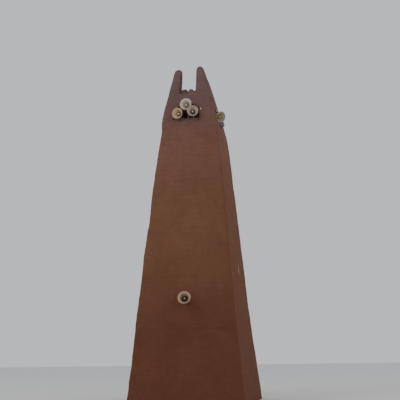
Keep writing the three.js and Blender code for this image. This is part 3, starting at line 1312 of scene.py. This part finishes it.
@dataclass
class Masonry:
    """The walls, belfry, parapet and prongs, smoothed by hand into one body of mud."""

    voxel: float = 0.030
    kept: float = 0.43
    margin: float = 0.002
    lumps: Profile = ((1.3, 0.035), (0.42, 0.022), (0.14, 0.009))
    footing: float = 0.15
    arris: float = 0.135
    levels: tuple[float, ...] = (
        0.5, 1.2, 1.8, 2.4, 3.0, 3.6, 4.4, 5.2, 5.8, 6.3, 6.9, 7.4, 8.0, 8.6,
        9.25, 9.55, 9.85, 10.15, 10.4, 10.8, 11.1,
    )
    shaft_inner: tuple[float, float] = (0.90, 0.60)
    belfry_inner: tuple[float, float] = (0.72, 0.58)
    parapet_inner: float = 0.68
    step: float = 0.001
    door_half: float = 0.39
    door_depth: tuple[float, float] = (0.5, 2.4)
    lintel_bearing: float = 0.24
    lintel_height: float = 0.16
    openings: dict[Side, Opening] = field(
        default_factory=lambda: {
            Side.FRONT: Opening(-0.058, 0.497),
            Side.RIGHT: Opening(-0.008, 0.548),
            Side.BACK: Opening(0.0, 0.52),
            Side.LEFT: Opening(0.0, 0.52),
        }
    )
    sill_bed: float = 0.04
    window_reach: float = 1.6
    arch_cuts: int = 11
    prongs: tuple[Prong, ...] = (
        Prong("front_right_prong", 0, 12.666, 0.232, (-0.085, 0.0)),
        Prong("back_right_prong", 1, 12.550, 0.284, (0.0, -0.125), foot=(0.0, -0.030)),
        Prong("back_left_prong", 2, 12.190, 0.344, (0.0, 0.0)),
        Prong("front_left_prong", 3, 12.606, 0.332, (0.0, 0.062), 0.055),
    )
    prong_foot: float = LEVELS.roof_ledge + 0.05
    prong_arris: float = 0.085
    prong_bow: float = 0.8
    finger: float = 0.34
    fingertip: Profile = (
        (-0.30, 1.0), (-0.20, 0.985), (-0.13, 0.95), (-0.08, 0.87), (-0.04, 0.73), (-0.012, 0.50),
        (0.0, 0.26),
    )
    merlon_place: tuple[float, float] = (0.065, -0.735)
    merlon_arris: float = 0.03
    merlon_steps: tuple[Point, ...] = (
        (-0.06, 0.132, 0.075), (0.04, 0.130, 0.072), (0.10, 0.116, 0.066), (0.150, 0.088, 0.056),
        (0.190, 0.050, 0.040),
    )

    def shell(self) -> bpy.types.Object:
        """Raises the solid tower from the ground to the crest.

        Returns:
            The tower, with softened corners.
        """
        rings = []
        for z in (-self.footing, *self.levels, LEVELS.crest):
            half, shift = outer_half(z) + at_height(SWELL, z), at_height(SWAY, z)
            rings.append(Ring(z, shift - half, shift + half, -half, half))
        piece = raise_block("tower_masonry", rings)
        round_arrises(piece, self.arris)
        return piece

    def hollow(self, piece: bpy.types.Object) -> None:
        """Cuts the shaft, the belfry room and the space inside the parapet.

        Args:
            piece: The solid tower.
        """
        foot, head = self.shaft_inner
        low, high = self.belfry_inner
        steps = (
            (-2 * self.footing, foot),
            (0.0, foot),
            (LEVELS.ledge, head),
            (LEVELS.ledge + self.step, low),
            (LEVELS.roof_ledge, high),
            (LEVELS.roof_ledge + self.step, self.parapet_inner),
            (LEVELS.crest + 0.2, self.parapet_inner),
        )
        cut(piece, raise_block("void", [Ring(z, -h, h, -h, h) for z, h in steps]))

    def doorway(self, piece: bpy.types.Object) -> None:
        """Cuts the doorway in the back wall and the pocket of its lintel.

        Args:
            piece: The hollow tower.
        """
        near, far = self.door_depth
        head, half = LEVELS.door_head, self.door_half
        reach = half + self.lintel_bearing
        cut(piece, add_block("door", (-half, near, -2 * self.footing), (half, far, head)))
        cut(piece, add_block("pocket", (-reach, near, head), (reach, far, head + self.lintel_height)))

    def window(self, side: Side) -> bpy.types.Object:
        """Models the cutter of one belfry window: a block whose top swells to a low arch.

        Args:
            side: The side that it opens.

        Returns:
            The cutter, in its place.
        """
        opening = self.openings[side]
        rise = LEVELS.crown - LEVELS.spring
        radius = (opening.half**2 + rise**2) / (2 * rise)
        low = (opening.centre - opening.half, -self.window_reach, LEVELS.sill - self.sill_bed)
        cutter = add_block("window", low, (opening.centre + opening.half, 0.0, LEVELS.spring))
        with editing(cutter, "EDGE"):
            choose(cutter, "edges", lambda edge: abs(edge.verts[0].co.x - edge.verts[1].co.x) > opening.half)
            bpy.ops.mesh.subdivide(number_cuts=self.arch_cuts)
        for vertex in cutter.data.vertices:
            if vertex.co.z > LEVELS.spring - 0.01:
                away = vertex.co.x - opening.centre
                vertex.co.z = LEVELS.crown - radius + math.sqrt(max(0.0, radius**2 - away**2))
        return moved(cutter, side.turn)

    def worn_edge(self) -> bpy.types.Object:
        """Models the cutter that wears down the right end of the front window's outer edge.

        Returns:
            The cutter, in its place.
        """
        opening = self.openings[Side.FRONT]
        low = (WORN.start, -1.43, LEVELS.sill - self.sill_bed)
        cutter = add_block("worn_edge", low, (opening.centre + opening.half, WORN.edge, LEVELS.sill + 0.1))
        for vertex in cutter.data.vertices:
            if vertex.co.z < LEVELS.sill:
                vertex.co.z -= WORN.at(vertex.co.x, vertex.co.y)
        return cutter

    def prong(self, prong: Prong) -> bpy.types.Object:
        """Raises one prong on its corner of the parapet.

        Args:
            prong: Its sizes.

        Returns:
            The prong, with a rounded finger-like tip.
        """
        levels = [(z, 1.0) for z in np.linspace(self.prong_foot, prong.tip - self.finger, 5)]
        levels += [(prong.tip + drop, share) for drop, share in self.fingertip]
        rings = []
        for z, share in levels:
            rise = (max(0.0, z - LEVELS.roof) / (prong.tip - LEVELS.roof)) ** self.prong_bow
            inner = prong.inner + prong.spread * (1 - rise)
            strays = zip(prong.foot, prong.stray)
            outer = [outer_half(z) + foot * (1 - rise) + tip * rise for foot, tip in strays]
            half = [(value - inner) / 2 * share for value in outer]
            x, y = (outer[0] + inner) / 2, -(outer[1] + inner) / 2
            rings.append(Ring(z, x - half[0], x + half[0], y - half[1], y + half[1]))
        piece = raise_block(prong.name, rings)
        round_arrises(piece, self.prong_arris, 3)
        return moved(piece, Matrix.Rotation(prong.turns * math.pi / 2, 4, "Z"))

    def merlon(self, side: Side) -> bpy.types.Object:
        """Raises the small rounded merlon in the middle of one crest.

        Args:
            side: The side that it stands on.

        Returns:
            The merlon, in its place.
        """
        x, y = self.merlon_place
        rings = []
        for z, wide, deep in self.merlon_steps:
            rings.append(Ring(LEVELS.crest + z, x - wide, x + wide, y - deep, y + deep))
        piece = raise_block("merlon", rings)
        round_arrises(piece, self.merlon_arris, 2)
        return moved(piece, side.turn)

    def settle(self, piece: bpy.types.Object) -> None:
        """Gives the joined blocks one skin with soft edges and the lumps of hand work.

        Args:
            piece: The joined blocks.
        """
        voxel = self.voxel * 1.0
        apply_modifier(piece, "REMESH", mode="VOXEL", voxel_size=voxel)
        apply_modifier(piece, "SMOOTH", factor=0.5, iterations=4)
        for size, depth in self.lumps:
            lumps = bpy.data.textures.new("hand_lumps", "CLOUDS")
            lumps.noise_scale = size
            lumps.noise_depth = 1
            apply_modifier(
                piece, "DISPLACE", texture=lumps, texture_coords="LOCAL", strength=depth, mid_level=0.5
            )
        apply_modifier(piece, "DECIMATE", ratio=self.kept)
        self.keep_inside(piece)

    def keep_inside(self, piece: bpy.types.Object) -> None:
        """Holds the vertices inside the CAD model's box.

        Args:
            piece: The masonry.
        """
        low, high = CAD_BOX
        points = np.empty(len(piece.data.vertices) * 3, np.float32)
        piece.data.vertices.foreach_get("co", points)
        points = points.reshape(-1, 3)
        limit = min(-low.x, high.x) - self.margin
        points[:, :2] = np.clip(points[:, :2], -limit, limit)
        points[:, 2] = np.minimum(points[:, 2], high.z - self.margin)
        piece.data.vertices.foreach_set("co", points.reshape(-1))
        piece.data.update()

    def slice(self, body: bpy.types.Object, name: str, low: float, high: float | None) -> bpy.types.Object:
        """Copies the part of the body between two levels.

        Args:
            body: The whole masonry.
            name: The new piece's name.
            low: The lower level.
            high: The upper level, or None for the tips.

        Returns:
            The closed piece.
        """
        piece = copy_piece(body, name)
        cuts = [(low, True)] if high is None else [(low, True), (high, False)]
        with editing(piece):
            for level, below in cuts:
                bpy.ops.mesh.select_all(action="SELECT")
                bpy.ops.mesh.bisect(
                    plane_co=(0, 0, level),
                    plane_no=(0, 0, 1),
                    use_fill=True,
                    clear_inner=below,
                    clear_outer=not below,
                )
        return piece

    def build(self, mud: bpy.types.Material) -> None:
        """Builds the masonry and dresses it.

        Args:
            mud: The material of the mud render.
        """
        body = self.shell()
        self.hollow(body)
        self.doorway(body)
        for side in Side:
            cut(body, self.window(side))
        cut(body, self.worn_edge())
        body = join([body, *map(self.prong, self.prongs), *map(self.merlon, Side)])
        self.settle(body)
        back = [f"back_wall_{part}" for part in ("right_of_door", "left_of_door", "over_door")]
        belfry = [f"{side.label}_belfry_wall" for side in Side]
        crown = [f"{side.label}_parapet" for side in Side] + [prong.name for prong in self.prongs]
        slices = (
            ("shaft_masonry", 0.0, LEVELS.ledge, ["front_wall", "right_wall", "left_wall", *back]),
            ("belfry_masonry", LEVELS.ledge, LEVELS.roof_ledge, belfry),
            ("crown_masonry", LEVELS.roof_ledge, None, crown),
        )
        for name, low, high, nodes in slices:
            piece = self.slice(body, name, low, high)
            smooth(piece, 60.0)
            finish_piece(piece, nodes, mud)
        bpy.data.objects.remove(body)


@dataclass
class Sills:
    """The four worn sills of the belfry."""

    cuts: int = 9
    gap: Point = (0.003, 0.003, 0.0)
    lumps: tuple[float, float] = (0.16, 0.0025)

    def build(self, wash: bpy.types.Material) -> None:
        """Models each sill in its node's place.

        Args:
            wash: The material of the lime wash.
        """
        gap = Vector(self.gap)
        for side in Side:
            node = f"{side.label}_sill"
            low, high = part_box(node)
            piece = add_block(f"{side.label}_worn_sill", low + gap, high - gap - Vector((0, 0, 0.002)))
            subdivide(piece, self.cuts)
            roughen(piece, *self.lumps, side.value)
            if side is Side.FRONT:
                for vertex in piece.data.vertices:
                    vertex.co.z -= WORN.at(vertex.co.x, vertex.co.y)
            apply_modifier(piece, "BEVEL", width=0.008, segments=3, limit_method="ANGLE")
            smooth(piece, 40.0)
            finish_piece(piece, [node], wash)


@dataclass
class EarthFloors:
    """The trodden floors and the threshold."""

    cuts: int = 15
    dish: float = 0.010
    wave: float = 0.008
    wave_scale: float = 2.3
    hatch: tuple[Point, Point] = ((0.0, -0.23, 9.7), (0.56, 0.23, 10.3))

    def build(self, earth: bpy.types.Material) -> None:
        """Models each floor in its node's place, dished by feet.

        Args:
            earth: The material of the packed earth.
        """
        for node in ("ground_floor", "threshold", "belfry_floor", "roof_slab"):
            low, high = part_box(node)
            piece = add_block(f"{node}_trodden", low, high)
            subdivide(piece, self.cuts)
            middle, reach = (low + high) / 2, (high.x - low.x) / 2
            for vertex in piece.data.vertices:
                if vertex.co.z > high.z - 1e-4:
                    away = min(1.0, (vertex.co - middle).xy.length / reach)
                    wave = noise.noise(vertex.co * self.wave_scale) * 0.5 + 0.5
                    vertex.co.z -= self.dish * (1 - away) + self.wave * wave
            if node == "belfry_floor":
                cut(piece, add_block("hatch", *self.hatch))
            smooth(piece, 50.0)
            finish_piece(piece, [node], earth)


@dataclass
class PalmTimbers:
    """The beams of both floors and the timbers over the door."""

    rings: int = 22
    sides: int = 20
    body: float = 0.93
    end: float = 0.84
    chamfer: float = 0.006
    scar: float = 0.035
    wave: float = 0.04

    def trunk(self, name: str, radius: float, length: float, seed: float) -> bpy.types.Object:
        """Models a palm trunk along X with its ring scars.

        Args:
            name: The trunk's name.
            radius: Its largest radius.
            length: Its length.
            seed: Sets its shape apart from the others'.

        Returns:
            The trunk, with its middle at the origin.
        """
        half, thick, thin = length / 2, radius * self.body, radius * self.end
        profile = [(POLE, -half), (thin, -half), (thick, self.chamfer - half)]
        for step in range(1, self.rings):
            along = -half + length * step / self.rings
            scar = self.scar if step % 2 else 0.0
            wave = self.wave * noise.noise(Vector((along * 3, seed * 9.1, 0)))
            profile.append((radius * (self.body - scar + wave), along))
        profile += [(thick, half - self.chamfer), (thin, half), (POLE, half)]
        piece = turned(name, profile, self.sides)
        roughen(piece, radius * 1.1, radius * 0.05, seed)
        smooth(piece, 35.0)
        return moved(piece, Matrix.Rotation(math.pi / 2, 4, "Y"))

    def build(self, wood: bpy.types.Material) -> None:
        """Models the beams and the lintel in their nodes' places.

        Args:
            wood: The material of the palm timber.
        """
        beams = [f"{level}_beam_{end}" for level in ("floor", "roof") for end in ("front", "back")]
        for seed, node in enumerate(beams, 1):
            low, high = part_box(node)
            piece = self.trunk(f"{node}_trunk", (high.z - low.z) / 2, high.x - low.x - 0.002, seed)
            moved(piece, Matrix.Translation((low + high) / 2))
            finish_piece(piece, [node], wood)
        low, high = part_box("door_lintel")
        middle, thick = (low + high) / 2, high.z - low.z
        count = round((high.y - low.y) / thick)
        pitch = (high.y - low.y) / count
        trunks = []
        for index in range(count):
            trunk = self.trunk("door_lintel_trunks", thick / 2, high.x - low.x - 0.004, 10 + index)
            bed = Matrix.Translation((middle.x, low.y + pitch * (index + 0.5), middle.z))
            trunks.append(moved(trunk, bed @ Matrix.Diagonal((1, pitch / thick, 1, 1))))
        finish_piece(join(trunks), ["door_lintel"], wood)


# The loudspeakers and lamps


@dataclass(frozen=True)
class HornPlace:
    """Where a loudspeaker hangs, seen from its own side: its mouth, aim, support and enamel."""

    name: str
    side: Side
    enamel: BellEnamel
    mouth: Point
    turn: float
    tilt: float
    leg: tuple[float, float] | None = None
    plate: float | None = None
    terminals: Point | None = None
    radius: float = 0.220

    @property
    def aim(self) -> Vector:
        """The direction that the mouth faces, seen from its side."""
        yaw, dip = math.radians(self.turn), math.radians(self.tilt)
        return Vector((math.sin(yaw) * math.cos(dip), -math.cos(yaw) * math.cos(dip), -math.sin(dip)))

    @property
    def matrix(self) -> Matrix:
        """Takes a horn with its mouth at the origin and its aim along +Z to its side."""
        forward = self.aim
        across = forward.cross(Vector((0, 0, 1))).normalized() * -1
        upward = forward.cross(across)
        axes = Matrix((across, upward, forward)).transposed().to_4x4()
        return Matrix.Translation(self.mouth) @ axes


@dataclass
class Loudspeaker:
    """A re-entrant horn: a spun bell, a bullet on a stem, a driver and its bracket."""

    spot: HornPlace
    depth: float = 0.270
    wall: float = 0.004
    steps: int = 16
    flare: float = 2.6
    bead: Profile = ((-0.0005, -0.0055), (0.0, 0.0), (-0.0015, 0.0055), (-0.0055, 0.0075), (-0.0088, 0.0050))
    driver: float = 0.105
    seat: float = 0.003
    ribs: int = 4
    rib_pitch: float = 0.014
    bar: float = 0.018
    foot_plate: tuple[float, float] = (0.045, 0.04)
    wall_plate: tuple[float, float] = (0.07, 0.09)
    box: tuple[tuple[Point, Point], ...] = (
        ((-0.075, -0.040, -0.070), (0.075, 0.120, 0.070)),
        ((-0.079, -0.050, -0.074), (0.079, -0.036, 0.074)),
        ((-0.103, 0.000, -0.012), (-0.070, 0.120, 0.012)),
        ((0.070, 0.000, -0.012), (0.103, 0.120, 0.012)),
    )

    @property
    def radius(self) -> float:
        """The radius of the bell's mouth."""
        return self.spot.radius

    def bell(self) -> bpy.types.Object:
        """Turns the thin bell with a rolled rim.

        Returns:
            The bell, with its mouth at the origin and facing up.
        """
        wall, depth = self.wall, self.depth
        throat, lip = self.radius * 0.42, self.radius - 0.010
        outside, inside = [], []
        for step in range(self.steps + 1):
            share = step / self.steps
            run = throat + (lip - throat) * share**self.flare
            outside.append((run + wall, (share - 1) * depth))
            inside.insert(0, (run, (share - 1) * (depth - wall)))
        bead = [(self.radius + inward, rise) for inward, rise in self.bead]
        stem, ring = self.radius * 0.12, throat * 0.55
        back = [(throat * 0.62, 0.008 - depth), (ring, wall - depth), (stem, wall - depth)]
        closing = [(stem, -depth), (ring, -depth), (throat * 0.9, -depth - self.seat)]
        return turned("bell", [*outside, *bead, *inside, *back, *closing], 64, hollow=True)

    def bullet(self) -> bpy.types.Object:
        """Turns the bullet and its stem, which stand in the throat.

        Returns:
            The bullet, in the bell's own frame.
        """
        size, stem, depth = self.radius * 0.17, self.radius * 0.09, self.depth
        profile = [(POLE, 0.001 - depth), (stem, 0.001 - depth)]
        profile += [(stem, -0.84 * depth), (stem * 1.2, -0.83 * depth)]
        nose = ((0.92, 0.78), (1.0, 0.75), (1.0, 0.5), (0.97, 0.38), (0.86, 0.29), (0.62, 0.23), (0.3, 0.205))
        profile += [(size * wide, -depth * deep) for wide, deep in nose]
        return turned("bullet", [*profile, (POLE, -depth * 0.2)], 36)

    def can(self) -> bpy.types.Object:
        """Turns the driver's ribbed can behind the bell.

        Returns:
            The can, in the bell's own frame.
        """
        body, front = self.radius * 0.23, -self.depth - self.seat
        back = front - self.driver + self.seat
        profile = [(POLE, back), (body * 0.35, back), (body * 0.42, back + 0.004), (body * 0.8, back + 0.004)]
        profile += [(body * 0.96, back + 0.010), (body, back + 0.018)]
        for rib in range(self.ribs):
            start = back + 0.024 + rib * self.rib_pitch
            profile += [(body * 0.90, start), (body * 0.90, start + 0.006)]
            profile += [(body, start + 0.008), (body, start + 0.012)]
        profile += [(body, front - 0.008), (body * 0.9, front), (POLE, front)]
        return turned("can", profile, 36)

    def bolts(self) -> list[bpy.types.Object]:
        """Models the bolt heads on the back plate and round the can's flange.

        Returns:
            The heads, in the bell's own frame.
        """
        head = ((POLE, 0), (0.006, 0), (0.006, -0.005), (0.004, -0.007), (POLE, -0.007))
        seat = Matrix.Translation((self.radius * 0.33, 0, -self.depth - self.seat))
        turns = [Matrix.Rotation(index * math.pi / 3 + 0.3, 4, "Z") for index in range(6)]
        return [moved(turned("bolt", head, 6), turn @ seat) for turn in turns]

    def bracket(self) -> list[bpy.types.Object]:
        """Models the bar and leg, or the bar and wall plate, seen from the side.

        Returns:
            The bracket's parts, and those of its terminal box.
        """
        spot, bar = self.spot, self.bar
        centre = Vector(spot.mouth) - spot.aim * (self.depth + self.driver / 2)
        under, over = centre.z - bar, centre.z + bar
        if spot.leg is not None:
            x, y = spot.leg
            low = LEVELS.sill - 0.002
            wide, deep = self.foot_plate
            (left, right), (front, back) = sorted((centre.x, x)), sorted((centre.y, y))
            parts = [
                add_block("leg", (x - bar, y - bar, low), (x + bar, y + bar, over)),
                add_block("foot_plate", (x - wide, y - deep, low), (x + wide, y + deep, low + 0.008)),
                add_block("arm", (left - bar, front - bar, under), (right + bar, back + bar, over)),
            ]
        else:
            wide, tall = self.wall_plate
            front, back = spot.plate - 0.03, spot.plate + 0.05
            low, high = (centre.x - wide, front, centre.z - tall), (centre.x + wide, back, centre.z + tall)
            parts = [
                add_block("arm", (centre.x - bar, centre.y, under), (centre.x + bar, back, over)),
                add_block("wall_plate", low, high),
            ]
        if spot.terminals is not None:
            parts += self.terminal_box(Vector(spot.terminals))
        for part in parts:
            apply_modifier(part, "BEVEL", width=0.004, segments=2)
        return parts

    def terminal_box(self, spot: Vector) -> list[bpy.types.Object]:
        """Models the small terminal box on the wall below the horn.

        Args:
            spot: Its middle, seen from the horn's side.

        Returns:
            The box, its lid, its two lugs and its cable gland.
        """
        parts = [add_block("box", spot + Vector(low), spot + Vector(high)) for low, high in self.box]
        gland = ((POLE, -0.100), (0.012, -0.100), (0.014, -0.085), (0.014, -0.065), (POLE, -0.065))
        return [*parts, moved(turned("gland", gland, 12), Matrix.Translation(spot))]

    def build(self, enamel: bpy.types.Material, metal: bpy.types.Material, shine: bpy.types.Material) -> None:
        """Models the loudspeaker in its nodes' place.

        Args:
            enamel: The bell's material.
            metal: The material of the driver and bracket.
            shine: The bullet's material.
        """
        name, turn = self.spot.name, self.spot.side.turn
        bell = self.bell()
        local = bell.data.attributes.new(HORN_PLACE, "FLOAT_VECTOR", "POINT")
        for vertex in bell.data.vertices:
            local.data[vertex.index].vector = vertex.co
        smooth(moved(named(bell, f"{name}_spun_bell"), turn @ self.spot.matrix), 35.0)
        finish_piece(bell, [f"{name}_bell"], enamel)

        bullet = named(self.bullet(), f"{name}_bullet")
        smooth(moved(bullet, turn @ self.spot.matrix), 40.0)
        finish_piece(bullet, [f"{name}_driver"], shine)

        can = moved(join([self.can(), *self.bolts()]), self.spot.matrix)
        can = named(join([can, *self.bracket()]), f"{name}_driver_can")
        smooth(moved(can, turn), 35.0)
        finish_piece(can, [f"{name}_driver"], metal)


@dataclass
class Lamp:
    """A small lamp with a ribbed cover on an arm let into the wall."""

    side: Side
    across: float
    z: float
    proud: float = 0.055
    ribs: int = 5
    rib_pitch: float = 0.012

    def build(self, cover: bpy.types.Material, metal: bpy.types.Material) -> None:
        """Models the lamp in its node's place.

        Args:
            cover: The material of the cover.
            metal: The material of the cap and arm.
        """
        node = f"{self.side.label}_lamp"
        glass = [(POLE, -0.0555), (0.010, -0.054), (0.016, -0.048), (0.020, -0.038)]
        for rib in range(self.ribs):
            start = -0.033 + rib * self.rib_pitch
            glass += [(0.0218, start), (0.0218, start + 0.0055), (0.0204, start + 0.008)]
        glass += [(0.0212, 0.027), (POLE, 0.0271)]
        cap = [(POLE, 0.027), (0.0218, 0.0272), (0.0218, 0.034)]
        cap += [(0.016, 0.043), (0.008, 0.048), (POLE, 0.0495)]
        spot = self.side.turn @ Matrix.Translation((self.across, -outer_half(self.z) - self.proud, self.z))
        body = turned(f"{node}_cover", glass, 28)
        smooth(moved(body, spot), 50.0)
        finish_piece(body, [node], cover)
        arm = add_block("arm", (-0.008, 0.0, 0.028), (0.008, 0.066, 0.038))
        plate = add_block("plate", (-0.020, 0.046, 0.010), (0.020, 0.068, 0.050))
        for part in (arm, plate):
            apply_modifier(part, "BEVEL", width=0.003, segments=2)
        fitting = join([turned(f"{node}_fitting", cap, 28), arm, plate])
        smooth(moved(fitting, spot), 40.0)
        finish_piece(fitting, [node], metal)


# Each enamel sets how strong its painted shade is on the bell's lower side and round its bullet.
TAN = BellEnamel(
    "tan_enamel", rim=(0.66, 0.45, 0.32), lining=(0.60, 0.47, 0.28), throat=(0.74, 0.62, 0.42),
    low_side_shade=0.5, ring_shade_and_dirt=0.45,
)
WHITE = BellEnamel(
    "white_enamel", rim=(0.71, 0.59, 0.52), lining=(0.60, 0.52, 0.42), throat=(0.70, 0.62, 0.50),
    rust=0.12, low_side_shade=0.5,
)
GREY = BellEnamel(
    "grey_enamel", rim=(0.47, 0.355, 0.315), lining=(0.49, 0.37, 0.29), throat=(0.68, 0.47, 0.37),
    rust=0.20, low_side_shade=0.52, ring_shade_and_dirt=0.8,
)
BEIGE = BellEnamel(
    "beige_enamel", rim=(0.52, 0.36, 0.26), lining=(0.30, 0.19, 0.11), throat=(0.14, 0.085, 0.05), rust=0.15
)
GREEN = BellEnamel(
    "green_enamel", rim=(0.47, 0.39, 0.35), lining=(0.48, 0.40, 0.27), throat=(0.60, 0.54, 0.28),
    rust=0.2, ring_shade_and_dirt=0.0,
)
DRIVER_PAINT = DullMetal("dusty_driver_paint", paint=(0.17, 0.14, 0.145), bare=(0.22, 0.185, 0.18))
GREY_PAINT = DullMetal("grey_bracket_paint", paint=(0.20, 0.17, 0.17), bare=(0.26, 0.22, 0.21))
BULLET_ENAMEL = DullMetal("bullet_enamel", paint=(0.30, 0.23, 0.16), bare=(0.42, 0.35, 0.27), rust=0.2)

HORNS = (
    HornPlace(
        "front_left_horn", Side.FRONT, TAN, (-0.366, -1.224, 10.438), -10, 12,
        leg=(-0.350, -0.880), radius=0.209,
    ),
    HornPlace(
        "front_top_horn", Side.FRONT, WHITE, (-0.042, -1.202, 10.788), -3, 1,
        leg=(-0.030, -0.830), radius=0.228,
    ),
    HornPlace(
        "front_right_horn", Side.FRONT, GREY, (0.254, -1.305, 10.443), 12, 5,
        leg=(0.190, -0.900), radius=0.212,
    ),
    HornPlace("lower_front_horn", Side.FRONT, BEIGE, (0.058, -2.060, 3.471), 7, -15, plate=-1.640),
    HornPlace(
        "right_horn", Side.RIGHT, GREEN, (-0.412, -1.150, 10.446), -38, 24,
        leg=(-0.213, -0.914), terminals=(-0.345, -1.205, 10.160), radius=0.217,
    ),
    HornPlace("back_horn", Side.BACK, BEIGE, (0.0, -1.210, 10.450), 0, 10, leg=(0.0, -0.860)),
    HornPlace("left_horn", Side.LEFT, WHITE, (0.060, -1.200, 10.450), 8, 10, leg=(0.020, -0.860)),
)
LAMPS = (Lamp(Side.FRONT, 0.505, 10.614), Lamp(Side.RIGHT, -0.545, 10.665))


# The studio


@dataclass(frozen=True)
class SoftLight:
    """A large soft area light: its place, width, power in watts and tint."""

    name: str
    spot: Point
    size: float
    power: float
    tint: Colour

    def build(self, target: Point) -> None:
        """Adds the light.

        Args:
            target: The point that it faces.
        """
        data = bpy.data.lights.new(self.name, "AREA")
        data.size, data.energy, data.color = self.size, self.power, self.tint
        lamp = bpy.data.objects.new(self.name, data)
        lamp.location = self.spot
        lamp.rotation_mode = "QUATERNION"
        lamp.rotation_quaternion = (Vector(target) - Vector(self.spot)).to_track_quat("-Z", "Y")
        bpy.context.scene.collection.objects.link(lamp)


@dataclass
class Studio:
    """A plain pale floor and soft light."""

    floor_size: float = 160.0
    floor_level: float = -0.002
    pale: Colour = (0.72, 0.72, 0.71)
    sky: Colour = (0.90, 0.92, 0.96)
    sky_strength: float = 0.75
    target: Point = (0.0, 0.0, 8.0)
    lights: tuple[SoftLight, ...] = (
        SoftLight("key", (-16.0, -20.0, 24.0), 14.0, 1900.0, (1.0, 0.98, 0.95)),
        SoftLight("side", (22.0, -6.0, 12.0), 8.0, 600.0, (1.0, 0.74, 0.36)),
    )

    def build(self) -> None:
        """Adds the floor, the world and the lights."""
        pick(None)
        bpy.ops.mesh.primitive_plane_add(size=self.floor_size, location=(0, 0, self.floor_level))
        floor = bpy.context.object
        floor.name = "studio_floor"
        material = bpy.data.materials.new("studio_floor")
        material.use_nodes = True
        shader = material.node_tree.nodes["Principled BSDF"]
        shader.inputs["Base Color"].default_value = (*self.pale, 1.0)
        shader.inputs["Roughness"].default_value = 0.9
        floor.data.materials.append(material)

        world = bpy.data.worlds.new("studio")
        world.use_nodes = True
        background = world.node_tree.nodes["Background"]
        background.inputs["Color"].default_value = (*self.sky, 1.0)
        background.inputs["Strength"].default_value = self.sky_strength
        bpy.context.scene.world = world
        for light in self.lights:
            light.build(self.target)


@dataclass
class PhotoCamera:
    """The camera at the photograph's place and angle."""

    place: Point = (5.1746, -21.5645, 1.6)
    heading: float = 13.045
    pitch: float = 14.5
    roll: float = -0.93
    lens: float = 54.0

    def build(self) -> None:
        """Adds the camera and makes it the scene's."""
        heading, pitch, roll = (math.radians(v) for v in (self.heading, self.pitch, self.roll))
        across = Vector((math.cos(heading), math.sin(heading), 0))
        ahead = Vector((-math.sin(heading), math.cos(heading), 0))
        forward = ahead * math.cos(pitch) + Vector((0, 0, 1)) * math.sin(pitch)
        upward = Vector((0, 0, 1)) * math.cos(pitch) - ahead * math.sin(pitch)
        right = across * math.cos(roll) + upward * math.sin(roll)
        top = upward * math.cos(roll) - across * math.sin(roll)
        data = bpy.data.cameras.new("photo_camera")
        data.lens = self.lens
        data.sensor_width = 36.0
        data.clip_end = 500.0
        camera = bpy.data.objects.new("photo_camera", data)
        axes = Matrix((right, top, -forward)).transposed().to_4x4()
        camera.matrix_world = Matrix.Translation(self.place) @ axes
        bpy.context.scene.collection.objects.link(camera)
        bpy.context.scene.camera = camera


def main() -> None:
    """Builds and dresses every part of the tower in order."""
    logging.basicConfig(level=logging.INFO, format="%(message)s")
    noise.seed_set(NOISE_SEED)
    PhotoCamera().build()
    Studio().build()
    effects = SharedEffects()
    mud = MudRender("mud_render").make(effects)
    metal, grey_metal, shine = (finish.make(effects) for finish in (DRIVER_PAINT, GREY_PAINT, BULLET_ENAMEL))
    enamels = {finish: finish.make(effects) for finish in (TAN, WHITE, GREY, BEIGE, GREEN)}
    Masonry().build(mud)
    Sills().build(LimeWash("worn_lime_wash").make(effects))
    EarthFloors().build(TroddenEarth("trodden_earth").make(effects))
    PalmTimbers().build(PalmTimber("palm_timber").make(effects))
    for spot in HORNS:
        enamel = enamels[spot.enamel]
        paint = grey_metal if spot.side is Side.RIGHT else metal
        Loudspeaker(spot).build(enamel, paint, enamel if spot.plate is None else shine)
    cover = LampCover("lamp_cover").make(effects)
    for lamp in LAMPS:
        lamp.build(cover, metal)


if __name__ == "__main__":
    main()
